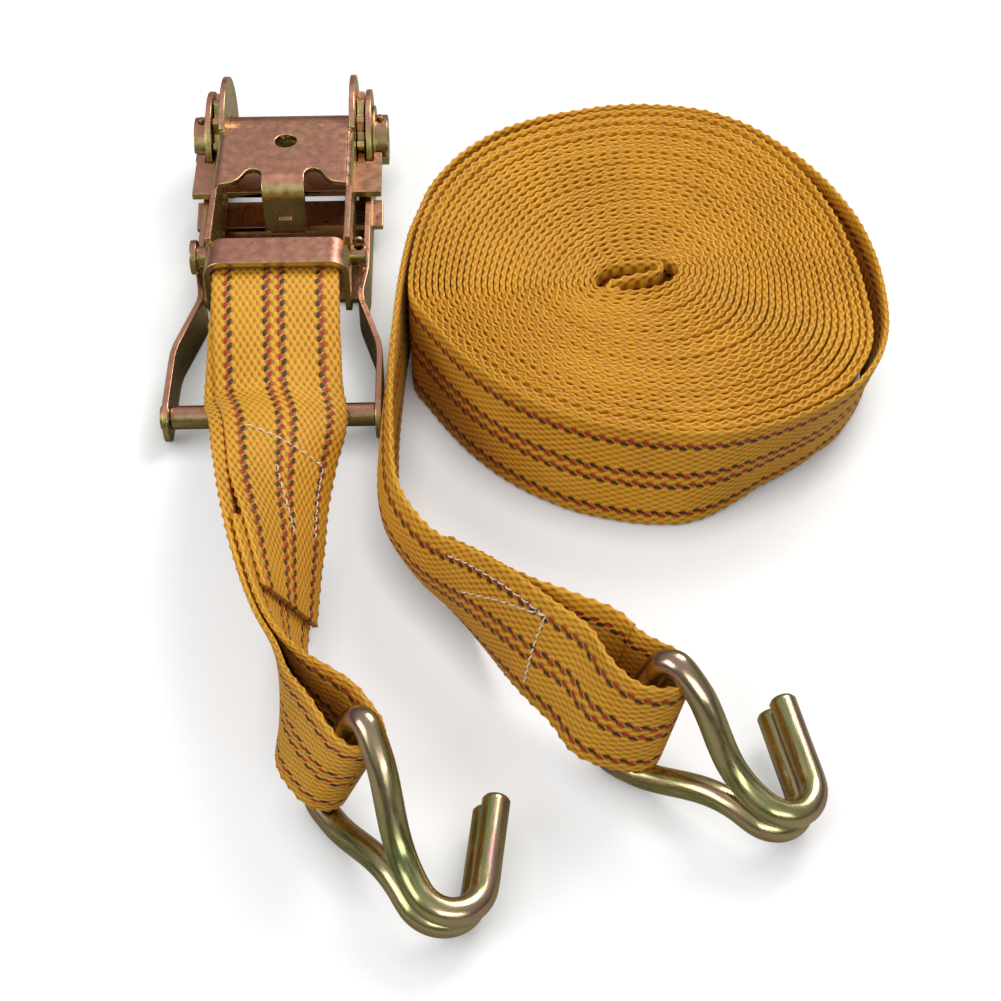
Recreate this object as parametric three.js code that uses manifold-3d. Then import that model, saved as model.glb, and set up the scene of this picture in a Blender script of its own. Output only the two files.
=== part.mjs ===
// Ratchet tie-down: a 50 mm webbing ratchet with its short fixed strap and hook,
// and the long strap wound in a flat coil with its own hook.
// Units are millimetres, +Z up. The ratchet lies face down: frame above, handle
// folded closed underneath. The origin is the middle of the footprint, on the ground.
//
// Ratchet parts are laid out by "along": the distance from the spool axis towards the
// fixed strap, which is -Y. Front means the strap end (-Y), rear the spool end (+Y),
// left -X and right +X. A range is written [from, to].
import * as THREE from "three";
import { mergeVertices } from "three/addons/utils/BufferGeometryUtils.js";
import Module from "manifold-3d";

const manifold = await Module();
manifold.setup();

// ---------------------------------------------------------------- shared dimensions
const FOOTPRINT_MIDDLE = [10.14, 19.17]; // in layout coordinates

// ratchet placement: the spool axis runs along X
const RATCHET_X = -86.7;
const SPOOL_Y = 199.5;
const SPOOL_Z = 22.0;

const SPOOL_R = 10.9;
const SPOOL_BORE_R = 11.3;

const WHEEL_R = 21.0;
const WHEEL_IN = 29.4; // the wheels' inner and outer faces, in X
const WHEEL_OUT = 32.6;

const LOCK_PAWL_Z = 26.0;
const DRIVE_PAWL_ANGLE = 0.30; // below the horizontal, pointing at the spool axis
const PAWL_T = 3.0;
const PAWL_SLOT_HALF = (PAWL_T + 0.7) / 2;

// anchor pin of the fixed strap
const ANCHOR_ALONG = 87.0;
const ANCHOR_Z = 28.0;
const ANCHOR_R = 4.5;

const WEBBING_W = 50.0;
const WEBBING_T = 2.3;
const LAYER_GAP = 0.3; // between two layers, and between a loop and its bar

const THROUGH = [-50, 50]; // X range of a tool that passes through the whole ratchet
const SIDES = [1, -1]; // right, left

const FINISH = {
  zinc: { color: 0xa87360, roughness: 0.38, metalness: 0.95 },
  zincDark: { color: 0x75604a, roughness: 0.42, metalness: 0.95 },
  hook: { color: 0x8c8060, roughness: 0.28, metalness: 1.0 },
  webbing: { color: 0xd8961e, roughness: 0.75, metalness: 0.0 },
  thread: { color: 0xe8dcc8, roughness: 0.7, metalness: 0.0 },
};

// ---------------------------------------------------------------- groups
const part = new THREE.Group();
part.name = "ratchet_tie_down";
const layout = new THREE.Group();
layout.position.set(-FOOTPRINT_MIDDLE[0], -FOOTPRINT_MIDDLE[1], 0);
part.add(layout);
const ratchet = new THREE.Group();
ratchet.position.set(RATCHET_X, SPOOL_Y, 0);
layout.add(ratchet);
const spool = new THREE.Group();
spool.position.set(0, 0, SPOOL_Z);
ratchet.add(spool);

function addMesh(parent, name, geometry, finish) {
  const mesh = new THREE.Mesh(geometry, new THREE.MeshStandardMaterial(FINISH[finish]));
  mesh.name = name;
  parent.add(mesh);
}

// ---------------------------------------------------------------- solids
function toSolid(geometry) {
  const bare = geometry.clone();
  for (const key of Object.keys(bare.attributes)) {
    if (key !== "position") bare.deleteAttribute(key);
  }
  const merged = mergeVertices(bare, 1e-4);
  return new manifold.Manifold(
    new manifold.Mesh({
      numProp: 3,
      vertProperties: new Float32Array(merged.attributes.position.array),
      triVerts: new Uint32Array(merged.index.array),
    }),
  );
}

function toGeometry(solid) {
  const mesh = solid.getMesh();
  const geometry = new THREE.BufferGeometry();
  const positions = new Float32Array(mesh.vertProperties);
  geometry.setAttribute("position", new THREE.BufferAttribute(positions, 3));
  geometry.setIndex(new THREE.BufferAttribute(new Uint32Array(mesh.triVerts), 1));
  geometry.computeVertexNormals();
  return geometry;
}

const union = (solids) => solids.reduce((sum, solid) => sum.add(solid));
const subtractAll = (solid, tools) => tools.reduce((rest, tool) => rest.subtract(tool), solid);

const vec = (point) => new THREE.Vector3(...point);
const centred = (half) => [-half, half];
const around = (middle, half) => [middle - half, middle + half];

// the X range from inner to outer on one side of the ratchet
const onSide = (side, inner, outer) => (side > 0 ? [inner, outer] : [-outer, -inner]);

const arc = (cx, cy, radius, from, to, segments) =>
  Array.from({ length: segments + 1 }, (_, i) => {
    const angle = from + ((to - from) * i) / segments;
    return [cx + radius * Math.cos(angle), cy + radius * Math.sin(angle)];
  });

function extrude(points, depth) {
  const shape = new THREE.Shape(points.map(([x, y]) => new THREE.Vector2(x, y)));
  shape.closePath();
  return new THREE.ExtrudeGeometry(shape, { depth, bevelEnabled: false, steps: 1 });
}

// a flat outline in (along, z), extruded across X
function sideSolid(points, [x0, x1]) {
  const geometry = extrude(points.map(([along, z]) => [-along, z]), x1 - x0);
  geometry.applyMatrix4(
    new THREE.Matrix4().makeBasis(vec([0, 1, 0]), vec([0, 0, 1]), vec([1, 0, 0])),
  );
  geometry.translate(x0, 0, 0);
  return toSolid(geometry);
}

// a flat outline in (x, along), extruded up Z
function planSolid(points, [z0, z1]) {
  const geometry = extrude(points.map(([x, along]) => [x, -along]), z1 - z0);
  geometry.translate(0, 0, z0);
  return toSolid(geometry);
}

// a flat outline in (x, z), extruded towards the strap
function channelSolid(points, [from, to]) {
  const geometry = extrude(points, to - from);
  geometry.rotateX(Math.PI / 2);
  geometry.translate(0, -from, 0);
  return toSolid(geometry);
}

function boxGeometry([x0, x1], [from, to], [z0, z1]) {
  const geometry = new THREE.BoxGeometry(x1 - x0, to - from, z1 - z0);
  geometry.translate((x0 + x1) / 2, -(from + to) / 2, (z0 + z1) / 2);
  return geometry;
}

const boxSolid = (...ranges) => toSolid(boxGeometry(...ranges));

// a round bar along X
function rodSolid(radius, [x0, x1], [along, z], segments) {
  const geometry = new THREE.CylinderGeometry(radius, radius, x1 - x0, segments);
  geometry.rotateZ(Math.PI / 2);
  geometry.translate((x0 + x1) / 2, -along, z);
  return toSolid(geometry);
}

// an upright round bar about its middle
function uprightSolid(radius, height, [x, along, z], segments) {
  const geometry = new THREE.CylinderGeometry(radius, radius, height, segments);
  geometry.rotateX(Math.PI / 2);
  geometry.translate(x, -along, z);
  return toSolid(geometry);
}

// takes the square corner off a bend: x and z are the faces that meet there,
// up is 1 for a top corner and -1 for a bottom one
function bendCut({ side, up, x, z, radius, segments, range }) {
  const outline = [
    [x + 1, 1], [x - radius, 1],
    ...arc(x - radius, -radius, radius, Math.PI / 2, 0, segments),
    [x + 1, -radius],
  ];
  return channelSolid(outline.map(([dx, dz]) => [side * dx, z + up * dz]), range);
}

// a round wire swept through points
function roundBar(points, radius, sides, stepsPerSpan) {
  const ring = arc(0, 0, radius, 0, 2 * Math.PI * (1 - 1 / sides), sides - 1);
  return new THREE.ExtrudeGeometry(
    new THREE.Shape(ring.map(([x, y]) => new THREE.Vector2(x, y))),
    {
      steps: (points.length - 1) * stepsPerSpan,
      bevelEnabled: false,
      extrudePath: new THREE.CatmullRomCurve3(points, false, "centripetal"),
    },
  );
}

// ---------------------------------------------------------------- frame
// a pressed steel channel, web uppermost, with a narrower band across its front
const FRAME_T = 2.5;
const FRAME_INNER = 26.5; // half the clear width between the side plates
const FRAME_OUTER = FRAME_INNER + FRAME_T;
const FRAME_TOP = 42.0;
const FRAME_LOW = 4.0; // lowest edge of the side plates
const FRAME_EAR_R = 28.3; // rounded rear ears, about the spool axis
const FRAME_NOSE_R = 6;
const WEB_RANGE = [17.8, 59.0];
const WEB_BEND_R = 3.6;
const BAND_RANGE = [92.3, 107.9];
const BAND_BEND_R = 7.5;
const CHANNEL_FOOT_Z = 30; // where the web's and band's bends run into the side plates
const TONGUE_HALF_W = 8.9;
const TONGUE_BEND_ALONG = 50;
const TONGUE_BEND_R = 8;
const TONGUE_FOOT_Z = 18;

// one arch in the web's front edge: x, along
const WEB_ARCH = [
  [9, WEB_RANGE[1] + 1], [9, 50.2], [9.6, 48.2], [11.2, 46.9], [13.4, 46.7], [15.2, 47.8],
  [16.6, 50.4], [18.3, 53.6], [21, 55.6], [26.2, 56.8], [26.2, WEB_RANGE[1] + 1],
];

function frameSidePlates() {
  const earTop = Math.asin((FRAME_TOP - SPOOL_Z) / FRAME_EAR_R);
  const earLow = Math.PI + Math.asin((SPOOL_Z - FRAME_LOW) / FRAME_EAR_R);
  const front = BAND_RANGE[1];
  const outline = [
    ...arc(0, SPOOL_Z, FRAME_EAR_R, earTop, earLow, 30),
    [17, FRAME_LOW], [22.5, 8.5], [28, 18.2], [48, 14], [98, 13],
    ...arc(front - FRAME_NOSE_R, 19, FRAME_NOSE_R, -Math.PI / 2, 0, 5),
    [front, FRAME_TOP],
  ];
  return union(SIDES.map((side) => sideSolid(outline, onSide(side, FRAME_INNER, FRAME_OUTER))));
}

// a top wall and its two bends
function frameChannel(bendR, range) {
  const x = FRAME_OUTER - bendR;
  const z = FRAME_TOP - bendR;
  const insideR = bendR - FRAME_T;
  return channelSolid([
    [FRAME_OUTER, CHANNEL_FOOT_Z],
    ...arc(x, z, bendR, 0, Math.PI / 2, 6),
    ...arc(-x, z, bendR, Math.PI / 2, Math.PI, 6),
    [-FRAME_OUTER, CHANNEL_FOOT_Z],
    [-FRAME_INNER, CHANNEL_FOOT_Z],
    ...arc(-x, z, insideR, Math.PI, Math.PI / 2, 5),
    ...arc(x, z, insideR, Math.PI / 2, 0, 5),
    [FRAME_INNER, CHANNEL_FOOT_Z],
  ], range);
}

// bends down from the web; its foot stands in front of the lock pawl's spring
function frameTongue() {
  const z = FRAME_TOP - TONGUE_BEND_R;
  const insideR = TONGUE_BEND_R - FRAME_T;
  return sideSolid([
    [49.8, FRAME_TOP - FRAME_T],
    ...arc(TONGUE_BEND_ALONG, z, insideR, Math.PI / 2, 0, 7),
    [TONGUE_BEND_ALONG + insideR, TONGUE_FOOT_Z],
    [TONGUE_BEND_ALONG + TONGUE_BEND_R, TONGUE_FOOT_Z],
    ...arc(TONGUE_BEND_ALONG, z, TONGUE_BEND_R, 0, Math.PI / 2, 8),
    [49.8, FRAME_TOP],
  ], centred(TONGUE_HALF_W));
}

function buildFrame() {
  const [webStart, webEnd] = WEB_RANGE;
  const [bandStart, bandEnd] = BAND_RANGE;
  const top = { up: 1, x: FRAME_OUTER, z: FRAME_TOP, segments: 6 };

  // the plates' square corners come off wherever the channel is bent
  const corners = SIDES.flatMap((side) => [
    bendCut({ ...top, side, radius: WEB_BEND_R, range: [webStart + 1.5, webEnd] }),
    bendCut({ ...top, side, radius: BAND_BEND_R, range: [bandStart, bandEnd + 1] }),
  ]);
  // the middle of the web's rear edge stands further back
  const rearTab = planSolid([
    [-10.5, 13.4], [10.5, 13.4], [15.5, webStart + 0.4], [-15.5, webStart + 0.4],
  ], [FRAME_TOP - FRAME_T, FRAME_TOP]);
  let solid = union([
    subtractAll(frameSidePlates(), corners),
    frameChannel(WEB_BEND_R, WEB_RANGE),
    frameChannel(BAND_BEND_R, BAND_RANGE),
    rearTab,
  ]);

  // front edge of the web: an arch either side of the tongue, and room for the tongue;
  // then a round hole near the rear edge
  const webCutZ = [CHANNEL_FOOT_Z, FRAME_TOP + 1];
  solid = subtractAll(solid, [
    ...SIDES.map((side) => planSolid(WEB_ARCH.map(([x, along]) => [side * x, along]), webCutZ)),
    boxSolid(centred(9.5), [50.0, webEnd + 1], webCutZ),
    uprightSolid(4.6, 10, [0, 27.5, 40.8], 28),
  ]);

  // spring seat punched from the tongue, leaving a pocket in the front face
  const seat = boxSolid(centred(2.6), [53.4, 56], around(LOCK_PAWL_Z, 1.6));
  const pocket = boxSolid(centred(2.7), [56.8, 59], around(LOCK_PAWL_Z, 2.2));
  solid = union([solid, frameTongue(), seat]).subtract(pocket);

  // spool bore, lock pawl slots in the side plates, anchor pin bore
  solid = subtractAll(solid, [
    rodSolid(SPOOL_BORE_R, THROUGH, [0, SPOOL_Z], 48),
    ...SIDES.map((side) =>
      boxSolid(onSide(side, 26, 40), [22.3, 48.6], around(LOCK_PAWL_Z, PAWL_SLOT_HALF))),
    rodSolid(ANCHOR_R + 0.35, THROUGH, [ANCHOR_ALONG, ANCHOR_Z], 32),
  ]);
  addMesh(ratchet, "frame", toGeometry(solid), "zinc");
}

// ---------------------------------------------------------------- handle
const HANDLE_OUT = 35.7; // outer face beside the wheels
const HANDLE_NECK_OUT = 33.7;
const HANDLE_GRIP_OUT = 42.0;
const HANDLE_T = 2.5;
const HANDLE_R = 22.0; // rounded rear end, about the spool axis
const HANDLE_BEND_R = 2.6;
const HANDLE_WEB_RANGE = [26, 85];
const CROSSBAR_ALONG = 161.3;
const CROSSBAR_Z = 9.5;
const CROSSBAR_R = 4.6;
const CROSSBAR_GAP = 0.3; // between the bar's shoulder and the arm

// outer face of one arm: outside the wheels, in at the neck, out to the grip; x, along
const HANDLE_ARM = [
  [HANDLE_OUT, -24], [HANDLE_OUT, 84], [HANDLE_OUT - 0.4, 88],
  [HANDLE_NECK_OUT + 0.3, 96], [HANDLE_NECK_OUT, 100], [HANDLE_NECK_OUT + 0.5, 103.5],
  [HANDLE_GRIP_OUT - 0.9, 128], [HANDLE_GRIP_OUT - 0.2, 132.5],
  [HANDLE_GRIP_OUT, 138], [HANDLE_GRIP_OUT, 172],
];

// the arms seen from the side: along, z
const HANDLE_PROFILE = [
  ...arc(0, SPOOL_Z, HANDLE_R, 0.12, (Math.PI * 3) / 2, 30),
  [30, 0], [CROSSBAR_ALONG, 0],
  ...arc(CROSSBAR_ALONG, 9, 9, -Math.PI / 2, Math.PI / 2, 12),
  [128, 18], [104, 18.6], [88, 20.2], [78, 21.3], [60, 22.9], [26, 23.4],
];

function handleArm(side) {
  const inside = HANDLE_ARM.map(([x, along]) => [x - HANDLE_T, along]).reverse();
  return planSolid([...HANDLE_ARM, ...inside].map(([x, along]) => [side * x, along]), [-1, 46]);
}

// the web underneath, its front edge slightly hollow
function handleWeb() {
  const [start, end] = HANDLE_WEB_RANGE;
  const edge = HANDLE_OUT - 0.1;
  return planSolid([
    [-edge, start], [edge, start], [edge, end],
    [20, end - 1.2], [0, end - 1.8], [-20, end - 1.2], [-edge, end],
  ], [0, HANDLE_T]);
}

function drivePawlSlot(side) {
  const slot = boxGeometry(onSide(side, 31.45, 37.45), [27.4, 51.0], centred(PAWL_SLOT_HALF));
  slot.rotateX(DRIVE_PAWL_ANGLE);
  slot.translate(0, 0, SPOOL_Z);
  return toSolid(slot);
}

function buildHandle() {
  const [webStart, webEnd] = HANDLE_WEB_RANGE;
  let solid = union(SIDES.map(handleArm))
    .intersect(sideSolid(HANDLE_PROFILE, THROUGH))
    .add(handleWeb());
  solid = subtractAll(solid, SIDES.map((side) => bendCut({
    side, up: -1, x: HANDLE_OUT, z: 0, radius: HANDLE_BEND_R, segments: 5,
    range: [webStart, webEnd + 0.5],
  })));
  // spring tab standing on the web
  solid = solid.add(boxSolid(centred(7), [51.2, 53.7], [1.5, 13]));
  // bores for the spool and the crossbar tenons, slots for the drive pawl
  solid = subtractAll(solid, [
    rodSolid(SPOOL_BORE_R + 0.1, THROUGH, [0, SPOOL_Z], 48),
    rodSolid(3.5, THROUGH, [CROSSBAR_ALONG, CROSSBAR_Z], 24),
    ...SIDES.map(drivePawlSlot),
  ]);
  addMesh(ratchet, "handle", toGeometry(solid), "zinc");
}

// grip bar between the arms, with a tenon and a rivet head at each end
function buildCrossbar() {
  const axis = [CROSSBAR_ALONG, CROSSBAR_Z];
  const end = HANDLE_GRIP_OUT - HANDLE_T - CROSSBAR_GAP;
  const solid = union([
    rodSolid(CROSSBAR_R, centred(end), axis, 32),
    rodSolid(3.2, centred(end + 3.2), axis, 24),
    ...SIDES.map((side) => rodSolid(4.6, onSide(side, end + 3.1, end + 4.2), axis, 24)),
  ]);
  addMesh(ratchet, "handle_crossbar", toGeometry(solid), "zincDark");
}

// ---------------------------------------------------------------- spool and wheels
// two half-moon shafts with a slot between them for the webbing
const SPOOL_SLOT = 3.2;
const SPOOL_HALF_LENGTH = 42.3;
const SPOOL_TILT = Math.PI / 2; // shafts are modelled with the slot upright; at rest it is level
const SPOOL_PIN_X = 38.9;
const SPOOL_PIN_R = 1.4;
const WHEEL_ROOT_R = 16.9;
const WHEEL_TEETH = 12;
const WHEEL_PHASE = 0.19; // angle of the tooth gap that the lock pawl lies in line with

// one tooth gap: distance out from the axis, distance round from the gap's own radius
const TOOTH_GAP = [
  [WHEEL_ROOT_R, -2.0], [WHEEL_R + 0.8, -2.15], [WHEEL_R + 0.8, 8.2],
  [19.4, 5.0], [17.5, 2.6], [WHEEL_ROOT_R, 1.9],
];

// side is 1 for the half towards the strap before tilting; flat is its distance from the axis
function halfMoon(side, radius, flat, range) {
  const angle = Math.acos(flat / radius);
  const outline = arc(0, 0, radius, -angle, angle, 18);
  return sideSolid(outline.map(([along, z]) => [side * along, z]), range);
}

function tilted(solid) {
  const geometry = toGeometry(solid);
  geometry.rotateX(SPOOL_TILT);
  return geometry;
}

function buildSpoolHalf(name, side) {
  const pinHoles = SIDES.map((end) => {
    const hole = new THREE.CylinderGeometry(SPOOL_PIN_R + 0.2, SPOOL_PIN_R + 0.2, 30, 16);
    hole.translate(end * SPOOL_PIN_X, 0, 0);
    return toSolid(hole);
  });
  const shaft = halfMoon(side, SPOOL_R, SPOOL_SLOT / 2, centred(SPOOL_HALF_LENGTH));
  addMesh(spool, name, tilted(subtractAll(shaft, pinHoles)), "zincDark");
}

function toothGap(index) {
  const angle = WHEEL_PHASE + (index * 2 * Math.PI) / WHEEL_TEETH;
  const cos = Math.cos(angle);
  const sin = Math.sin(angle);
  const outline = TOOTH_GAP.map(([out, round]) => [
    out * cos - round * sin,
    out * sin + round * cos,
  ]);
  return sideSolid(outline, THROUGH);
}

function buildWheel(name, side) {
  const wheel = subtractAll(rodSolid(WHEEL_R, onSide(side, WHEEL_IN, WHEEL_OUT), [0, 0], 72), [
    ...Array.from({ length: WHEEL_TEETH }, (_, i) => toothGap(i)),
    ...SIDES.map((half) =>
      toSolid(tilted(halfMoon(half, SPOOL_R + 0.2, SPOOL_SLOT / 2 - 0.2, THROUGH)))),
  ]);
  addMesh(spool, name, toGeometry(wheel), "zinc");
}

function buildSpoolWasher(name, side) {
  const washer = rodSolid(15, onSide(side, 36.0, 37.1), [0, 0], 36)
    .subtract(rodSolid(SPOOL_R + 0.35, THROUGH, [0, 0], 36));
  addMesh(spool, name, toGeometry(washer), "zinc");
}

// pin across both spool halves
function buildSpoolPin(name, side) {
  const pin = new THREE.CylinderGeometry(SPOOL_PIN_R, SPOOL_PIN_R, 25.4, 16);
  pin.translate(side * SPOOL_PIN_X, 0, 0);
  pin.rotateX(SPOOL_TILT);
  addMesh(spool, name, pin, "zincDark");
}

function buildSpool() {
  buildSpoolHalf("spool_half_front", 1);
  buildSpoolHalf("spool_half_rear", -1);
  for (const [word, side] of [["left", -1], ["right", 1]]) {
    buildWheel(`ratchet_wheel_${word}`, side);
    buildSpoolWasher(`spool_washer_${word}`, side);
    buildSpoolPin(`spool_pin_${word}`, side);
  }
}

// ---------------------------------------------------------------- pawls and springs
const PAWL_HALF_LENGTH = 40.0;
const PAWL_TIP_ALONG = 17.3; // where a tip ends when it sits in the teeth
const DRIVE_PAWL_BACK = 4.0; // how far the drive pawl is drawn back from the teeth
const SPRING_POINTS_PER_TURN = 12;

// a coil spring; radius is the outside of the coil, wire the wire's own radius
function buildSpring(parent, name, { from, to, radius, wire, turns }) {
  const axis = to.clone().sub(from);
  const length = axis.length();
  axis.normalize();
  const across = new THREE.Vector3(1, 0, 0);
  const upright = new THREE.Vector3().crossVectors(axis, across);
  const count = turns * SPRING_POINTS_PER_TURN;
  const points = [];
  for (let i = 0; i <= count; i++) {
    const angle = (i / count) * turns * 2 * Math.PI;
    points.push(from.clone()
      .addScaledVector(axis, wire + (i / count) * (length - 2 * wire))
      .addScaledVector(across, Math.cos(angle) * (radius - wire))
      .addScaledVector(upright, Math.sin(angle) * (radius - wire)));
  }
  addMesh(parent, name, roundBar(points, wire, 6, 1), "hook");
}

// a flat plate about z = 0: centre, a wing each side, and a tip on each wing for its wheel
function pawlPlate({ centreHalf, centre, wings, tipFrom }) {
  const thick = centred(PAWL_T / 2);
  return union([
    boxSolid(centred(centreHalf), centre, thick),
    ...SIDES.flatMap((side) => [
      boxSolid(onSide(side, centreHalf - 0.5, PAWL_HALF_LENGTH), wings, thick),
      boxSolid(onSide(side, WHEEL_IN + 0.1, WHEEL_OUT + 0.1), [tipFrom, wings[0] + 1], thick),
    ]),
  ]);
}

// slides in the frame's slots, with ears outside the handle for the fingers
function buildLockPawl() {
  const plate = pawlPlate({
    centreHalf: 25.9, centre: [24.0, 43.6], wings: [22.9, 44.4], tipFrom: PAWL_TIP_ALONG,
  });
  const ears = SIDES.map((side) =>
    boxSolid(onSide(side, 36.4, PAWL_HALF_LENGTH), [16.6, 23.5], centred(PAWL_T / 2)));
  const springPeg = boxSolid(centred(2.0), [43, 46.4], centred(1.3));
  const geometry = toGeometry(union([plate, ...ears, springPeg]));
  geometry.translate(0, 0, LOCK_PAWL_Z);
  addMesh(ratchet, "lock_pawl", geometry, "zinc");
  buildSpring(ratchet, "lock_pawl_spring", {
    from: vec([0, -44.0, LOCK_PAWL_Z]), to: vec([0, -55.1, LOCK_PAWL_Z]),
    radius: 4.2, wire: 0.55, turns: 5,
  });
}

// slides in the handle's slots, aimed at the spool axis; drawn back clear of the wheels
function buildDrivePawl() {
  const back = DRIVE_PAWL_BACK;
  const body = [29.2 + back, 42.8 + back];
  const plate = pawlPlate({
    centreHalf: 32.7, centre: body, wings: body, tipFrom: PAWL_TIP_ALONG + back,
  });
  const springPeg = boxSolid(centred(1.6), [42 + back, 44.8 + back], centred(1.1));
  const geometry = toGeometry(plate.add(springPeg));
  geometry.rotateX(DRIVE_PAWL_ANGLE);
  addMesh(spool, "drive_pawl", geometry, "zinc");

  const fromAxis = (distance) =>
    vec([0, -Math.cos(DRIVE_PAWL_ANGLE), -Math.sin(DRIVE_PAWL_ANGLE)]).multiplyScalar(distance);
  buildSpring(spool, "drive_pawl_spring", {
    from: fromAxis(43.2 + back), to: fromAxis(52.4), radius: 2.9, wire: 0.45, turns: 4,
  });
}

// ---------------------------------------------------------------- anchor pin
const SPLIT_PIN_X = 32.1;

// split pin wire, from the anchor pin's axis: x, z.
// One leg up through the hole, round the eye above, down the other leg; ends spread below.
const SPLIT_PIN_WIRE = [
  [-1.15, -6.3], [-0.95, -5.2], [-0.85, -4.2], [-0.85, 0], [-0.85, 4.8],
  [-1.75, 6.2], [-1.5, 7.6], [0, 8.4], [1.5, 7.6], [1.75, 6.2],
  [0.85, 4.8], [0.85, 0], [0.85, -4.2], [1.4, -5.4], [2.4, -6.2],
];

function buildAnchorPin() {
  const axis = [ANCHOR_ALONG, ANCHOR_Z];
  const shank = rodSolid(ANCHOR_R, [-34.0, 34.9], axis, 32);
  const head = rodSolid(7.0, [-36.2, -33.5], axis, 36);
  const hole = uprightSolid(1.75, 14, [SPLIT_PIN_X, ...axis], 16);
  addMesh(ratchet, "anchor_pin", toGeometry(shank.add(head).subtract(hole)), "zinc");
}

function buildSplitPin() {
  const wire = SPLIT_PIN_WIRE.map(([x, z]) => vec([SPLIT_PIN_X + x, -ANCHOR_ALONG, ANCHOR_Z + z]));
  addMesh(ratchet, "anchor_split_pin", roundBar(wire, 0.7, 8, 3), "hook");
}

// ---------------------------------------------------------------- hooks
// double-J hooks, each bent from one round bar
const HOOK_WIRE_R = 4.5;
const HOOK_BAR = 56.5; // length of the bar, between the centres of its two legs
const HOOK_BAR_BEND_R = 6;
const HOOK_LANE = HOOK_WIRE_R + 0.15; // half the centre distance of the legs where they meet
const HOOK_LEGS_MEET = 50.5; // distances out from the bar
const HOOK_DEPTH = 62.4;
const HOOK_J_R = 11.5;
const HOOK_J_ANGLE = 2.463;
const HOOK_TIP = 30.0; // straight length after the J

// placements: middle of the bar, direction of the bar, direction of the legs
const FIXED_HOOK = {
  middle: [-55.08, -136.76, 32.6],
  bar: [0.3271, -0.1427, 0.9342],
  leg: [0.4712, -0.8322, -0.2921],
};
const LONG_HOOK = {
  middle: [38.84, -120.55, 32.8],
  bar: [0.3263, -0.0595, 0.9434],
  leg: [0.7372, -0.6086, -0.2934],
};

// one half of the hook from the bar to its tip: x along the bar, y along the legs
function hookHalf(side) {
  const points = [];
  const add = (x, y, z) => points.push(vec([side * x, y, z]));
  const half = HOOK_BAR / 2;
  const bendX = half - HOOK_BAR_BEND_R;
  for (const angle of [0, 0.3, 0.8, 1.3]) {
    add(bendX + HOOK_BAR_BEND_R * Math.sin(angle), HOOK_BAR_BEND_R * (1 - Math.cos(angle)), 0);
  }
  // the leg sweeps in to meet the other one
  const leg = new THREE.CubicBezierCurve3(
    vec([half, 0, 0]), vec([half, 23.7, 0]),
    vec([HOOK_LANE, HOOK_LEGS_MEET - 23, 0]), vec([HOOK_LANE, HOOK_LEGS_MEET, 0]),
  );
  for (let i = 3; i <= 12; i++) add(...leg.getPoint(i / 12).toArray());
  // the J, then its straight tip
  const arcY = HOOK_DEPTH - HOOK_J_R;
  const sin = Math.sin(HOOK_J_ANGLE);
  const cos = Math.cos(HOOK_J_ANGLE);
  for (let i = 1; i <= 10; i++) {
    const angle = (HOOK_J_ANGLE * i) / 10;
    add(HOOK_LANE, arcY + HOOK_J_R * Math.sin(angle), HOOK_J_R * (1 - Math.cos(angle)));
  }
  for (const part of [0.35, 0.7, 1]) {
    const straight = HOOK_TIP * part;
    add(HOOK_LANE, arcY + HOOK_J_R * sin + straight * cos, HOOK_J_R * (1 - cos) + straight * sin);
  }
  return points;
}

function buildHook(name, { middle, bar, leg }) {
  const barAxis = vec(bar).normalize();
  const legAxis = vec(leg);
  legAxis.addScaledVector(barAxis, -legAxis.dot(barAxis)).normalize();
  const faceAxis = new THREE.Vector3().crossVectors(barAxis, legAxis);
  const path = [...hookHalf(1).reverse(), vec([8, 0, 0]), vec([-8, 0, 0]), ...hookHalf(-1)];
  const geometry = roundBar(path, HOOK_WIRE_R, 12, 1);
  geometry.applyMatrix4(new THREE.Matrix4().makeBasis(barAxis, legAxis, faceAxis));
  geometry.translate(...middle);
  addMesh(layout, name, geometry, "hook");
}

// ---------------------------------------------------------------- webbing tables
// All in layout coordinates unless said otherwise.

// the fixed strap's middle line from the anchor pin to the crossbar: along, z
const FIXED_LEAD = [
  [ANCHOR_ALONG, ANCHOR_Z], [97, 31.6], [108, 34.8], [117, 34.0], [128, 30.4], [139, 26.0],
  [150, 21.4],
];

// the two long edges of the strap's middle surface, from the crossbar to the hook: x, y, z
const FIXED_LEFT_EDGE = [
  [-111.70, 38.20, 17.00], [-107.59, 23.25, 29.15], [-103.73, 8.04, 37.01],
  [-101.48, -6.51, 40.42], [-98.98, -20.07, 42.68], [-96.33, -33.35, 44.06],
  [-93.47, -46.55, 45.08], [-90.29, -59.66, 46.01], [-86.80, -72.59, 46.99],
  [-82.83, -85.10, 48.59], [-77.86, -97.22, 50.75], [-71.82, -108.17, 53.58],
  [-65.19, -118.13, 56.45], [-55.44, -127.91, 57.37], [-47.24, -140.18, 54.81],
];
const FIXED_RIGHT_EDGE = [
  [-61.70, 38.20, 17.00], [-59.87, 30.28, 15.98], [-60.85, 20.60, 14.56],
  [-63.34, 9.05, 12.09], [-65.40, -3.50, 9.55], [-67.02, -16.31, 7.31],
  [-68.24, -29.16, 5.56], [-69.08, -42.07, 4.29], [-69.61, -55.09, 3.42],
  [-70.11, -68.43, 3.20], [-70.60, -81.90, 3.71], [-71.12, -96.13, 5.06],
  [-70.97, -110.86, 7.32], [-69.49, -124.16, 9.53], [-62.93, -133.33, 9.99],
];

// middle line of the long strap where it leaves the coil, standing on edge: x, y
const TAIL_START = [
  [-31.0, 112], [-34.2, 92], [-36.6, 72], [-38.1, 52], [-39.1, 30], [-39.8, 6], [-40.0, -12],
];
const TAIL_START_Z = 0.2; // its lower edge

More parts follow.
